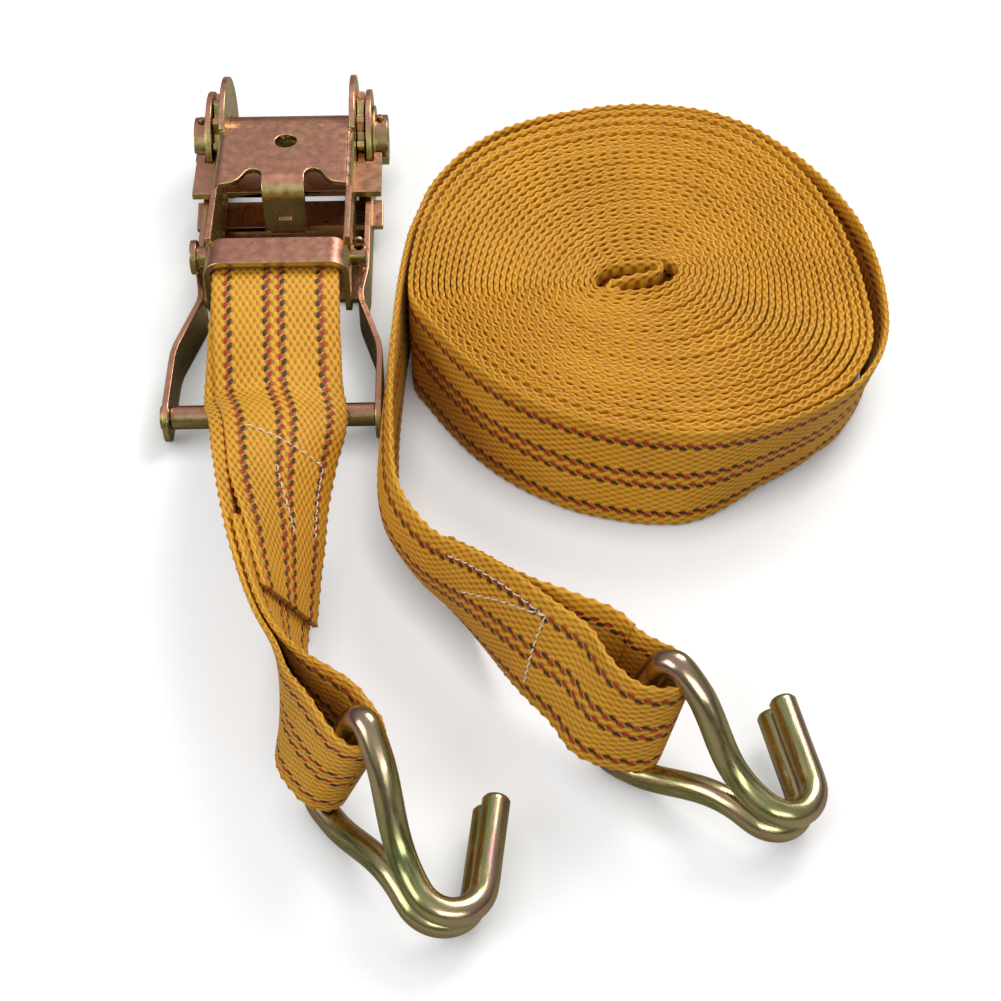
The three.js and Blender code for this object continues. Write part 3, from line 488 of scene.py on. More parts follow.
# ------------------------------------------------------------------ ratchet metalwork
# CAD node, body it rides on, slot, width of its broken edges
PRESSED = (
    ("frame", "frame", "zinc_plate", 0.40),
    ("handle", "handle", "zinc_plate", 0.40),
    ("handle_crossbar", "handle", "zinc_pins", 0.30),
    ("spool_half_front", "spool", "zinc_pins", 0.30),
    ("spool_half_rear", "spool", "zinc_pins", 0.30),
    ("ratchet_wheel_left", "spool", "zinc_plate", 0.25),
    ("ratchet_wheel_right", "spool", "zinc_plate", 0.25),
    ("spool_washer_left", "spool", "zinc_plate", 0.20),
    ("spool_washer_right", "spool", "zinc_plate", 0.20),
    ("spool_pin_left", "spool", "zinc_pins", 0.20),
    ("spool_pin_right", "spool", "zinc_pins", 0.20),
    ("lock_pawl", "lock_pawl", "zinc_plate", 0.30),
    ("drive_pawl", "drive_pawl", "zinc_plate", 0.30),
    ("anchor_pin", "anchor", "zinc_pins", 0.40),
)
# in metres: vertices merged, and how far a bevelled one may lie from or outside the CAD surface
MERGE_DISTANCE, STRAY_LIMIT, OUTSIDE_LIMIT = 3e-6, 0.00025, 0.00003


def pressed(node, body, slot, width):
    """A piece cut from plate or bar: the CAD solid with its edges broken."""
    cad_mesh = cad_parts[node].data
    bm = bmesh.new()
    bm.from_mesh(cad_mesh)
    bmesh.ops.remove_doubles(bm, verts=bm.verts, dist=MERGE_DISTANCE)
    bmesh.ops.dissolve_limit(bm, angle_limit=math.radians(0.8), verts=bm.verts, edges=bm.edges)
    mesh = bpy.data.meshes.new(node + "_piece")
    bm.to_mesh(mesh)
    bm.free()
    ob = bpy.data.objects.new(node + "_piece", mesh)
    bpy.context.scene.collection.objects.link(ob)
    mesh.polygons.foreach_set("use_smooth", np.full(len(mesh.polygons), True))

    bevel = ob.modifiers.new("edges", "BEVEL")
    bevel.width = width / 1000.0
    bevel.segments = 3
    bevel.limit_method = "ANGLE"
    bevel.angle_limit = math.radians(30)
    bevel.use_clamp_overlap = False
    rounded = bpy.data.meshes.new_from_object(
        ob.evaluated_get(bpy.context.evaluated_depsgraph_get()))
    ob.modifiers.clear()
    ob.data = rounded

    # a rounded corner that runs past its plate is drawn back to the plate's surface
    solid = BVHTree.FromPolygons([v.co.copy() for v in cad_mesh.vertices],
                                 [tuple(p.vertices) for p in cad_mesh.polygons])
    for vertex in rounded.vertices:
        near, normal, _, away = solid.find_nearest(vertex.co)
        if away > STRAY_LIMIT or (vertex.co - near).dot(normal) > OUTSIDE_LIMIT:
            vertex.co = near

    weighted = ob.modifiers.new("flat", "WEIGHTED_NORMAL")
    weighted.keep_sharp = True
    dress(ob, slot, body, node)


def coil_spring(node, start, end, radius, wire, turns):
    """Compression spring from start, on the body, to end, on the pawl; wire is a radius."""
    axis = unit(end - start)
    length = np.linalg.norm(end - start)
    side_a = np.array([1.0, 0.0, 0.0])
    side_b = np.cross(axis, side_a)
    t = np.linspace(0, 1, turns * 28 + 1)
    # closed end turns, open in the middle
    along = np.interp(t, [0, 1 / turns, 1 - 1 / turns, 1], [0, 0.11, 0.89, 1.0])
    angle = 2 * math.pi * turns * t
    circle = np.cos(angle)[:, None] * side_a + np.sin(angle)[:, None] * side_b
    path = start + axis * (wire + along * (length - 2 * wire))[:, None] + (radius - wire) * circle
    ob = tube(node + "_coil", path, wire, sides=10)
    paint(ob, "spring_steel")
    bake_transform(ob)
    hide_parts(node)


def drive_pawl_point(distance):
    """A point on the drive pawl's sloping line, by its distance from the spool axis."""
    return ratchet_point(0, distance * math.cos(DRIVE_PAWL_ANGLE),
                         SPOOL_Z - distance * math.sin(DRIVE_PAWL_ANGLE))


SPLIT_PIN_X = 32.1
# split pin wire from one foot over the eye to the other: x from SPLIT_PIN_X, z from the anchor pin
SPLIT_PIN = (
    (-1.15, -6.3), (-0.95, -5.2), (-0.85, -4.2), (-0.85, 0), (-0.85, 4.8), (-1.75, 6.2),
    (-1.5, 7.6), (0, 8.4), (1.5, 7.6), (1.75, 6.2), (0.85, 4.8), (0.85, 0), (0.85, -4.2),
    (1.4, -5.4), (2.4, -6.2),
)


def split_pin():
    points = [ratchet_point(SPLIT_PIN_X + x, ANCHOR_S, ANCHOR_Z + z) for x, z in SPLIT_PIN]
    path = catmull(points, np.linspace(0, len(points) - 1, 140))
    wire = tube("anchor_split_pin_wire", path, 0.75, sides=12)
    dress(wire, "spring_steel", "anchor", "anchor_split_pin")


for piece in PRESSED:
    pressed(*piece)
coil_spring("lock_pawl_spring", ratchet_point(0, 44.0, LOCK_PAWL_Z),
            ratchet_point(0, 53.3, LOCK_PAWL_Z), radius=4.2, wire=0.5, turns=5)
coil_spring("drive_pawl_spring", drive_pawl_point(47.2),
            drive_pawl_point(52.4), radius=2.9, wire=0.42, turns=4)
split_pin()


# ------------------------------------------------------------------ double-J hooks
HOOK_HALF = 28.25            # half width over the bar's axes
HOOK_LANE = WIRE_R + 0.15    # each leg's distance from the hook's centre line once they meet
HOOK_CORNER_R = 6.0
HOOK_MEET = 50.5             # distance from the straight bar at which the legs meet
HOOK_DEPTH = 62.4            # distance from the straight bar to the far side of the J
J_RADIUS, J_ANGLE = 11.5, 2.463
HOOK_TIP = 30.0              # straight length after the J
TIP_CHAMFER, TIP_CHAMFER_LENGTH = 0.75, 1.0


def bezier(t, a, b, c, d):
    return (1 - t) ** 3 * a + 3 * (1 - t) ** 2 * t * b + 3 * (1 - t) * t * t * c + t ** 3 * d


def hook_side(side):
    """Half of the bar's axis, side 1 or -1: along the bar, along the legs, out of their plane."""
    corner = HOOK_CORNER_R
    points = [[side * (HOOK_HALF - corner), 0, 0]]
    for a in (0.3, 0.8, 1.3):
        points.append([side * (HOOK_HALF - corner + corner * math.sin(a)),
                       corner - corner * math.cos(a), 0])
    for i in range(3, 13):   # the leg's curve in to the centre
        t = i / 12
        points.append([side * bezier(t, HOOK_HALF, HOOK_HALF, HOOK_LANE, HOOK_LANE),
                       bezier(t, 0, 23.7, HOOK_MEET - 23, HOOK_MEET), 0])
    for i in range(1, 11):   # the J
        a = J_ANGLE * i / 10
        points.append([side * HOOK_LANE, HOOK_DEPTH - J_RADIUS + J_RADIUS * math.sin(a),
                       J_RADIUS * (1 - math.cos(a))])
    _, y, z = points[-1]
    for d in (HOOK_TIP * 0.35, HOOK_TIP * 0.7, HOOK_TIP):
        points.append([side * HOOK_LANE, y + d * math.cos(J_ANGLE), z + d * math.sin(J_ANGLE)])
    return points


def hook(body, pose):
    middle, bar, leg = (np.asarray(part, float) for part in pose)
    bar = unit(bar)
    leg = unit(leg - bar * np.dot(leg, bar))
    axes = np.array([bar, leg, np.cross(bar, leg)])
    path = np.array(hook_side(1)[::-1] + [[8, 0, 0], [-8, 0, 0]] + hook_side(-1))
    path = catmull(path, np.linspace(0, len(path) - 1, 560))
    along = arc_length(path)
    end = along[-1]
    s = np.concatenate([[0, 0.25, 0.6, 1.0], np.arange(2.0, end - 1.9, 0.9),
                        [end - 1.0, end - 0.6, end - 0.25, end]])
    path = resample(path, along, s)
    # tips: a cut face with a narrow chamfer
    from_tip = np.minimum(s, end - s)
    radii = WIRE_R - TIP_CHAMFER * np.clip(1 - from_tip / TIP_CHAMFER_LENGTH, 0, 1)
    dress(tube(body + "_bar", middle + path @ axes, radii, sides=36), "hook_bar", body, body)


hook("fixed_hook", FIXED_HOOK)
hook("long_hook", LONG_HOOK)


# ------------------------------------------------------------------ webbing
# rows of a strap: middle point, unit vector across, outer face's unit normal, length along
Rows = namedtuple("Rows", "middle across normal along")

EDGE_ROUNDING = 1.15   # width over which the thickness rounds down to the edge
EDGE_SHARE = 0.14      # share of the thickness left at the very edge
SWAY = 0.30            # how far the edges swing out of the strap's surface with the weave
FOLD_ROWS = 40         # steps round a loop's closed end, its two ends included
TOP_ROUND_ROWS = 40    # rows round the anchor pin


def weave(x, s):
    """Plain weave: warp yarns float over on every other square; x across, s along; -1 to 1."""
    bow = 0.3 * np.sin(math.pi * x / COLUMN)
    c = np.cos(math.pi * x / COLUMN) * np.cos(math.pi * (s + bow) / PITCH)
    return np.sign(c) * np.abs(c) ** 0.72


def section(middle, across, normal, half, arch, x):
    """Arc of half angle `arch` across a strap: points, normals and across vectors at x (-1 to 1)."""
    half_angle = np.where(arch < 0, -1.0, 1.0) * np.maximum(np.abs(arch), 1e-3)
    angle = x * half_angle
    radius = half / half_angle
    sin, cos = np.sin(angle)[..., None], np.cos(angle)[..., None]
    points = (middle + across * (radius * np.sin(angle))[..., None]
              + normal * (radius * (np.cos(angle) - np.cos(half_angle)))[..., None])
    return points, normal * cos + across * sin, across * cos - normal * sin


# column positions of a fully woven face, -1 to 1, three to a warp column
WOVEN = np.linspace(-1.0, 1.0, WARP_COLUMNS * 3 + 1)


def ribbon(name, rows, half, seed, outer=WOVEN, inner=None, thick=WEB_T, relief=RELIEF,
           scallop=0.10, arch=0.0):
    """Webbing as one closed solid; outer and inner are column positions on the two faces."""
    inner = outer if inner is None else inner
    count = len(rows.middle)
    half, thick, arch = (np.broadcast_to(np.asarray(v, float), (count,))[:, None]
                         for v in (half, thick, arch))
    middle, across, normal = (v[:, None, :] for v in rows[:3])
    s = rows.along[:, None]
    # slow waviness of the edges: amplitude, length
    phases = np.random.default_rng(seed).uniform(0, 6, 2)
    waves = sum(a * np.sin(s / length + p)
                for (a, length), p in zip(((0.10, 9.0), (0.07, 3.7)), phases))
    points, uvs, reliefs = [], [], []
    for sign, face_columns in ((1, outer), (-1, inner[::-1])):
        column = face_columns[None, :]
        x = (column + 1) * HALF_W
        from_edge = (1.0 - np.abs(column)) * HALF_W
        profile = (np.sqrt(np.clip(from_edge / EDGE_ROUNDING, 0, 1)) * (1 - EDGE_SHARE)
                   + EDGE_SHARE)
        height = weave(x, s) * sign
        fade = 0.55 + 0.45 * profile
        out = thick / 2 * profile + relief * height * fade
        # the bump of every turn of the weft at the edge
        rim = smooth((np.abs(column) - 0.91) / 0.09)
        turns = (scallop * np.cos(2 * math.pi * s / PITCH)
                 + 0.5 * sign * scallop * np.cos(math.pi * s / PITCH) + waves)
        sideways = turns * rim * np.sign(column)
        sway = SWAY * np.cos(math.pi * s / PITCH) * rim
        mid, n, w = section(middle, across, normal, half, arch, column)
        face = mid + w * sideways[..., None] + n * (sign * out + sway)[..., None]
        # kept just clear of the floor
        face[..., 2] = np.maximum(face[..., 2], 0.12 + 0.08 * relief * height)
        points.append(face)
        uvs.append(np.stack([np.broadcast_to(x, out.shape), np.broadcast_to(s, out.shape)], -1))
        reliefs.append(height * fade)
    points = np.concatenate(points, axis=1)
    quads, caps = tube_faces(count, points.shape[1])
    return make_object(name, points.reshape(-1, 3), quads, caps,
                       np.concatenate(uvs, axis=1).reshape(-1, 2),
                       np.concatenate(reliefs, axis=1).ravel())


def strap_piece(name, body, rows, half, seed, replaced=None, **shape):
    dress(ribbon(name, rows, half, seed, **shape), "webbing", body, replaced)


class Surface:
    """Middle surface of a strap through its two edges, carried straight on past both ends.

    skew is how far the end loop's lower edge runs ahead of its upper edge, per mm of width."""

    def __init__(self, lows, highs, ease=0, skew=0.0):
        u = np.linspace(0, len(lows) - 1, 1500)
        low, high = catmull(lows, u), catmull(highs, u)
        # ease out the edges' small steps, keeping both ends
        middle = soften((low + high) / 2, 60)
        across = soften(unit(high - low), 60, keep_unit=True)
        if ease:   # drape the middle stretch, leaving both ends as they are
            s = arc_length(middle)
            share = (smooth((s - 52.0) / 18.0)
                     * (1 - smooth((s - (s[-1] - 75.0)) / 20.0)))[:, None]
            middle = middle * (1 - share) + soften(middle, ease) * share
            across = unit(across * (1 - share) + soften(across, ease, keep_unit=True) * share)
        self.along = arc_length(middle)
        self.length = self.along[-1]
        self.middle, self.across = middle, across
        self.travel = unit(np.gradient(middle, self.along, axis=0))
        self.normal = unit(np.cross(self.travel, across))
        self.skew = skew

    def at(self, s):
        s = np.atleast_1d(np.asarray(s, float))
        inside = np.clip(s, 0, self.length)
        middle, across, normal, travel = (
            resample(v, self.along, inside)
            for v in (self.middle, self.across, self.normal, self.travel))
        middle = middle + travel * (s - inside)[:, None]
        return middle, unit(across), unit(normal), unit(travel)


# The next three return (points, across vectors).
def run(surface, s, offset, shift=0.0):
    """A layer lying `offset` from the middle surface at stations s, moved sideways by shift."""
    middle, across, normal, travel = surface.at(s)
    points = (middle + normal * np.broadcast_to(offset, s.shape)[:, None]
              + across * np.broadcast_to(shift, s.shape)[:, None])
    skew = surface.skew * smooth((s - (surface.length - 45.0)) / 45.0)
    return points, unit(across - travel * skew[:, None])


def fold(surface, ahead, gap, side=1):
    """The loop's closed end, bulging `ahead` past the bar; side is the face it starts from."""
    middle, across, normal, travel = surface.at(surface.length)
    across = unit(across - travel * surface.skew)
    a = np.linspace(math.pi / 2, -math.pi / 2, FOLD_ROWS)[1:-1] * side
    points = middle + travel * (ahead * np.cos(a))[:, None] + normal * (gap * np.sin(a))[:, None]
    return points, np.repeat(across, len(a), axis=0)


def chain(*parts):
    """Several stretches of a layer one after another."""
    return np.vstack([part[0] for part in parts]), np.vstack([part[1] for part in parts])


def strap_rows(points, across):
    """Even rows along the points; the normal comes from the path and the across vector."""
    length = arc_length(points)
    s = np.arange(0, length[-1], ROW_STEP)
    middle = soften(resample(points, length, s), 4)
    across = unit(resample(across, length, s))
    normal = unit(np.cross(unit(np.gradient(middle, axis=0)), across))
    return Rows(middle, across, normal, s)


def narrowing(s, length):
    """Half width of a strap that draws in by a tenth towards the hook."""
    return HALF_W * (1 - 0.10 * smooth((s - (length - 55.0)) / 45.0))


# ------------------------------------------------------------------ short fixed strap
# middle of the strap from the anchor pin to where the edge tables begin: s, z
FIXED_LEAD = (
    (ANCHOR_S, ANCHOR_Z), (97, 31.6), (108, 34.8), (117, 34.0), (128, 30.4), (139, 26.0),
    (150, 21.4),
)
# edges of the middle surface on towards the hook: x, y, z
FIXED_LEFT_EDGE = np.array([
    [-111.70, 38.20, 17.00], [-107.59, 23.25, 29.15], [-103.73, 8.04, 37.01],
    [-101.48, -6.51, 40.42], [-98.98, -20.07, 42.68], [-96.33, -33.35, 44.06],
    [-93.47, -46.55, 45.08], [-90.29, -59.66, 46.01], [-86.80, -72.59, 46.99],
    [-82.83, -85.10, 48.59], [-77.86, -97.22, 50.75], [-71.82, -108.17, 53.58],
    [-65.19, -118.13, 56.45], [-55.44, -127.91, 57.37], [-47.24, -140.18, 54.81]])
FIXED_RIGHT_EDGE = np.array([
    [-61.70, 38.20, 17.00], [-59.87, 30.28, 15.98], [-60.85, 20.60, 14.56],
    [-63.34, 9.05, 12.09], [-65.40, -3.50, 9.55], [-67.02, -16.31, 7.31],
    [-68.24, -29.16, 5.56], [-69.08, -42.07, 4.29], [-69.61, -55.09, 3.42],
    [-70.11, -68.43, 3.20], [-70.60, -81.90, 3.71], [-71.12, -96.13, 5.06],
    [-70.97, -110.86, 7.32], [-69.49, -124.16, 9.53], [-62.93, -133.33, 9.99]])

fixed = Surface(
    np.vstack([[ratchet_point(-HALF_W, s, z) for s, z in FIXED_LEAD], FIXED_LEFT_EDGE]),
    np.vstack([[ratchet_point(HALF_W, s, z) for s, z in FIXED_LEAD], FIXED_RIGHT_EDGE]),
    ease=2500)

PIN_LOOP_R = 5.95    # loop round the anchor pin
FIXED_REACH, FIXED_NEAR = 48.0, 4.0   # before the bar, where the hook loop starts and is fully open
FIXED_GAP, FIXED_AHEAD = 8.2, 10.5    # the hook loop's half opening and bulge past the bar
FIXED_JOINT = 14     # pieces meet this far from the pin and from the hook bar
FIXED_TOP_END = 0.735 * fixed.length       # cut end of the top layer
FIXED_RETURN_END = 0.60 * fixed.length     # end of the layer coming back from the hook

# tables of (station, value), stations counted from the pin along the middle surface
FIXED_ARCH = ((14, 0.0), (40, 0.10), (70, 0.22), (95, 0.24), (130, 0.18), (170, 0.10), (200, 0.0))
TOP_SHIFT = ((24, 0.0), (50, 1.2), (75, 2.6), (100, 2.6), (150, 1.8))
LOW_SHIFT = ((30, 0.0), (60, -1.2), (90, -1.8), (120, -2.2), (170, -2.0), (210, 0.0))


def fixed_offset(s):
    """Half distance between the outer layers: open round the pin and round the hook's bar."""
    pin = LAYER_OFFSET + (PIN_LOOP_R - LAYER_OFFSET) * (1 - smooth(s / 20.0))
    opening = smooth((s - fixed.length + FIXED_REACH) / (FIXED_REACH - FIXED_NEAR))
    return np.maximum(pin, LAYER_OFFSET + (FIXED_GAP - LAYER_OFFSET) * opening)


def fixed_arch(s):
    """The strap cups a little, edges down, where it leaves the ratchet."""
    return by_station(s, FIXED_ARCH)


def fixed_upper():
    """The end on top: from underneath the pin, round it and along to its cut end."""
    s = np.linspace(FIXED_JOINT, 0, 30)[:-1]
    under = run(fixed, s, -fixed_offset(s))
    middle, across, normal, travel = fixed.at(0.0)
    a = np.linspace(-math.pi / 2, -math.pi * 1.5, TOP_ROUND_ROWS)
    round_pin = (middle + normal * (PIN_LOOP_R * np.sin(a))[:, None]
                 + travel * (PIN_LOOP_R * np.cos(a))[:, None], np.repeat(across, len(a), axis=0))
    s = np.linspace(0, FIXED_TOP_END, 600)[1:]
    lift = fixed_offset(s) + 2.3 * smooth((s - 130) / 30)
    top = run(fixed, s, lift, by_station(s, TOP_SHIFT))

    rows = strap_rows(*chain(under, round_pin, top))
    station = rows.along - arc_length(chain(under, round_pin)[0])[-1]   # 0 at the top of the pin
    arch = fixed_arch(station)
    half = HALF_W * (1 - 0.05 * smooth((station - 130) / 50))
    strap_piece("fixed_strap_upper", "fixed_strap", rows, half, seed=3, arch=arch,
                replaced="fixed_strap")
    return rows._replace(along=station), half, arch


def fixed_lower():
    """The strap itself, underneath, to the hook and round it."""
    start = FIXED_JOINT - LAP
    s = np.linspace(start, fixed.length, 700)
    under = run(fixed, s, -fixed_offset(s), by_station(s, LOW_SHIFT))
    bend = fold(fixed, FIXED_AHEAD, FIXED_GAP, side=-1)
    s = np.linspace(fixed.length, fixed.length - FIXED_JOINT, 30)[1:]
    rows = strap_rows(*chain(under, bend, run(fixed, s, fixed_offset(s))))
    station = rows.along + start
    strap_piece("fixed_strap_lower", "fixed_strap", rows, narrowing(station, fixed.length),
                seed=5, arch=np.where(station < fixed.length, fixed_arch(station), 0.0))


def fixed_return():
    """Its other end, back from the hook and sewn in between the two."""
    s = np.linspace(fixed.length - (FIXED_JOINT - LAP), FIXED_RETURN_END, 300)
    shift = -1.0 * smooth((fixed.length - 20 - s) / 50)
    rows = strap_rows(*run(fixed, s, fixed_offset(s), shift))
    station = np.linspace(s[0], s[-1], len(rows.along))
    strap_piece("fixed_strap_return", "fixed_strap", rows, narrowing(station, fixed.length),
                seed=7, arch=-fixed_arch(station))


fixed_sewn = fixed_upper()
fixed_lower()
fixed_return()

# ------------------------------------------------------------------ coil of the long strap
# outside of the coil, counter-clockwise from above: x, y
COIL_OUTLINE = np.array([
    [-35.5, 62], [-29.8, 50], [-14, 24.5], [4.5, 5], [27.7, -9.5], [55, -16.5], [80, -17.5],
    [104, -11.5], [129, 4], [141.5, 20], [147.5, 36.5], [150.0, 56], [149.8, 83],
    [145.5, 108.2], [135, 134.9], [121.5, 156], [106, 172.5], [88, 181.5], [64.6, 185],
    [38.7, 181.8], [12.8, 172.9], [-9.5, 156], [-25.5, 130], [-33.6, 98]])
# where the tail leaves the coil's left side: x, y
TAIL_START = np.array([[-31.0, 112], [-34.2, 92], [-36.6, 72], [-38.1, 52], [-39.1, 30]])

# oval core: centre, half axes, tilt of the long axis
CORE = np.array([54.1, 73.4])
CORE_A, CORE_B, CORE_TILT = 16.9, 9.0, math.radians(15)
TURNS = 31
OUTER_INSET = 1.25   # from the outline to the outermost turn's middle surface
START = math.atan2(TAIL_START[0, 1] - CORE[1], TAIL_START[0, 0] - CORE[0])

# angle round the core in degrees from +x, how far the outermost turn stands off the rest
OUTER_GAP = (
    (0, 6.2), (12, 6.6), (30, 5.0), (48, 2.2), (75, 0.5), (95, 0.6), (112, 1.9), (128, 2.0),
    (145, 1.0), (160, 0.0), (200, 0.0), (290, 0.0), (318, 0.4), (335, 2.6), (348, 5.2),
)
# the same angle, how far the lower edges are tucked in: most between -y and +x
LEAN = (
    (0, 0), (180, 0), (270, 0), (278, 1), (284, 4), (293, 10), (300, 13.5), (309, 14.5),
    (321, 14.5), (336, 9.5), (350, 1.5),
)
# turn counted from the outside, how far it has slipped down
TURN_DROP = (
    (1, 0.0), (2, 0.9), (3, 0.2), (4, 1.1), (5, 0.5), (6, 1.3), (7, 0.6), (9, 0.9), (10, 1.9),
    (12, 1.6), (13, 2.4), (18, 2.6), (22, 2.2), (32, 1.6),
)


def outline_by_angle():
    """The outline's radius from the core, as sorted angles and radii."""
    closed = np.vstack([COIL_OUTLINE[-3:], COIL_OUTLINE, COIL_OUTLINE[:3]])
    offsets = catmull(closed, np.linspace(2.5, len(closed) - 3.5, 2400)) - CORE
    angles = np.mod(np.arctan2(offsets[:, 1], offsets[:, 0]), 2 * math.pi)
    order = np.argsort(angles)
    return angles[order], np.linalg.norm(offsets, axis=1)[order]


OUTLINE_ANGLES, OUTLINE_RADII = outline_by_angle()


def round_core(a, angles, values):
    return np.interp(np.mod(a, 2 * math.pi), angles, values, period=2 * math.pi)


def by_degrees(a, table):
    degrees, values = np.array(table).T
    return round_core(a, np.radians(degrees), values)


def spiral(turn):
    """Coil points and angles; turn counts inwards from the tail, clockwise from above."""
    a = START - 2 * math.pi * turn
    outside = round_core(a, OUTLINE_ANGLES, OUTLINE_RADII)
    core = 1 / np.sqrt((np.cos(a - CORE_TILT) / CORE_A) ** 2
                       + (np.sin(a - CORE_TILT) / CORE_B) ** 2)
    gap = by_degrees(a, OUTER_GAP)
    spacing = (outside - OUTER_INSET - gap - core) / TURNS
    radius = outside - OUTER_INSET - gap * smooth((turn - 0.94) / 0.06) - spacing * turn
    radius = np.maximum(radius, core * 0.93)
    points = np.stack([CORE[0] + radius * np.cos(a), CORE[1] + radius * np.sin(a)], axis=-1)
    return points, a


def turn_height(k):
    """Height of turn k against the outermost: a scatter from its number, less its drop."""
    scatter = np.mod(np.sin(k * 12.9898) * 43758.5453, 1.0) - 0.5
    return 0.7 * scatter - by_station(k, TURN_DROP)


def slip_of(turn, a):
    """Turns slip up and down a little against each other."""
    whole = np.floor(turn)
    change = smooth((turn - whole - 0.8) / 0.2)
    slip = turn_height(whole) * (1 - change) + turn_height(whole + 1) * change
    every = 40   # the slow noise is worked out on every 40th row
    track = np.stack([np.cos(a) * 1.3, np.sin(a) * 1.3, turn * 0.45 + 4.0], axis=-1)[::every]
    slow = [noise.noise(Vector([float(v) for v in p])) for p in track]
    index = np.arange(len(turn))
    slow = np.interp(index, index[::every], slow)
    return (slip + slow * 0.9) * smooth((turn - 0.9) / 0.5)


def coil_rows(outer_turn, inner_turn, step):
    """Rows from the inner turn out, so that travel is towards the hook; half heights; spacing."""
    count = int(abs(inner_turn - outer_turn) * 1600) + 2
    turn = np.linspace(inner_turn, outer_turn, count)
    length = arc_length(spiral(turn)[0])
    s = np.arange(0, length[-1], step)
    turn = np.interp(s, length, turn)
    points, a = spiral(turn)
    travel = unit(np.gradient(points, axis=0))
    outward = np.stack([travel[:, 1], -travel[:, 0]], axis=-1)
    spacing = np.abs(np.sum((points - spiral(turn + 1)[0]) * outward, axis=1))
    tuck = by_degrees(a, LEAN) * np.clip(1 - turn / TURNS, 0, 1)
    # a strap leaning in keeps its width, so its lower edge rises
    rise = 50.0 - np.sqrt(50.0 ** 2 - tuck ** 2)
    top = 49.8 + np.minimum(slip_of(turn, a), 0.35)
    bottom = np.maximum(0.25, top - 49.6 + rise)
    high = np.column_stack([points, top])
    low = np.column_stack([points - outward * tuck[:, None], bottom])
    across = unit(high - low)
    normal = unit(np.cross(np.column_stack([travel, np.zeros(len(travel))]), across))
    half = np.linalg.norm(high - low, axis=1) / 2
    return Rows((high + low) / 2, across, normal, s), half, spacing


# ------------------------------------------------------------------ tail of the long strap
# edges of the middle surface from the coil to the hook: x, y, z
TAIL_LOW_EDGE = np.array([
    [-39.01, 0.91, 0.40], [-38.88, -8.89, 0.50], [-38.03, -16.94, 0.50], [-35.74, -24.01, 0.60],
    [-32.03, -29.95, 0.60], [-27.63, -36.41, 0.70], [-22.94, -43.35, 0.90],
    [-17.58, -51.42, 2.00], [-12.35, -61.46, 4.00], [-7.61, -71.75, 6.60], [-3.00, -81.66, 9.00],
    [1.17, -91.03, 11.00], [5.90, -100.39, 12.10], [11.23, -108.83, 12.20],
    [14.94, -113.62, 11.95], [20.76, -117.78, 10.14], [31.01, -119.13, 9.97]])
TAIL_HIGH_EDGE = np.array([
    [-39.08, 0.11, 49.38], [-38.57, -11.64, 48.96], [-38.08, -22.55, 48.50],
    [-36.93, -32.22, 47.98], [-34.11, -39.87, 47.46], [-29.62, -47.33, 47.34],
    [-23.85, -55.27, 47.33], [-17.48, -61.87, 48.95], [-10.87, -68.23, 51.90],
    [-4.43, -75.53, 55.03], [2.48, -83.63, 57.70], [9.52, -92.21, 59.62], [16.76, -99.80, 60.56],
    [24.92, -106.13, 60.09], [30.62, -109.68, 59.26], [37.86, -116.37, 57.10],
    [46.66, -121.98, 55.22]])
# half angle of the strap's curved section at each point of the edge tables
TAIL_ARCH = [0.35, 0.42, 0.45, 0.48, 0.5, 0.5, 0.5, 0.48, 0.44, 0.4, 0.34, 0.28, 0.2, 0.12,
             0.06, 0.02, 0.0]

tail = Surface(np.vstack([[[x, y, 0.25] for x, y in TAIL_START], TAIL_LOW_EDGE]),
               np.vstack([[[x, y, 50.0] for x, y in TAIL_START], TAIL_HIGH_EDGE]), skew=0.16)
ARCH_STATIONS = [0.0, 60.0] + [
    tail.along[np.argmin(np.linalg.norm(tail.middle - (low + high) / 2, axis=1))]
    for low, high in zip(TAIL_LOW_EDGE, TAIL_HIGH_EDGE)]

LONG_GAP, LONG_AHEAD = 9.5, 14.0   # the hook loop's half opening and bulge past the bar
LONG_JOINT = 12        # pieces meet this far from the hook bar
JOIN_CLEAR = 12.0      # left out on both sides of where the coil runs into the tail
SEWN_LENGTH = 92       # how far the end comes back from the hook
SEAM = 0.20            # part of a turn made in one piece with the tail
# station from the hook's bar, extra offset of the layer coming back
BACK_OPENING = ((-62, 0.0), (-48, 1.2), (-36, 5.5), (-24, 9.6), (-14, 11.0), (-6, 9.8),
                (0, LONG_GAP - LAYER_OFFSET))


def tail_arch(s):
    return np.interp(s, ARCH_STATIONS, [0.0, 0.02] + TAIL_ARCH)


def doubled(s):
    """Offset that grows to make room for two layers."""
    return LAYER_OFFSET * smooth((s - (tail.length - 125)) / 25.0)


def long_front(s):
    return doubled(s) + (LONG_GAP - LAYER_OFFSET) * smooth((s - tail.length + 27) / 26.0)


def long_back(s):
    """The layer coming back stands further off than the front one before the hook."""
    return doubled(s) + by_station(s - tail.length, BACK_OPENING)


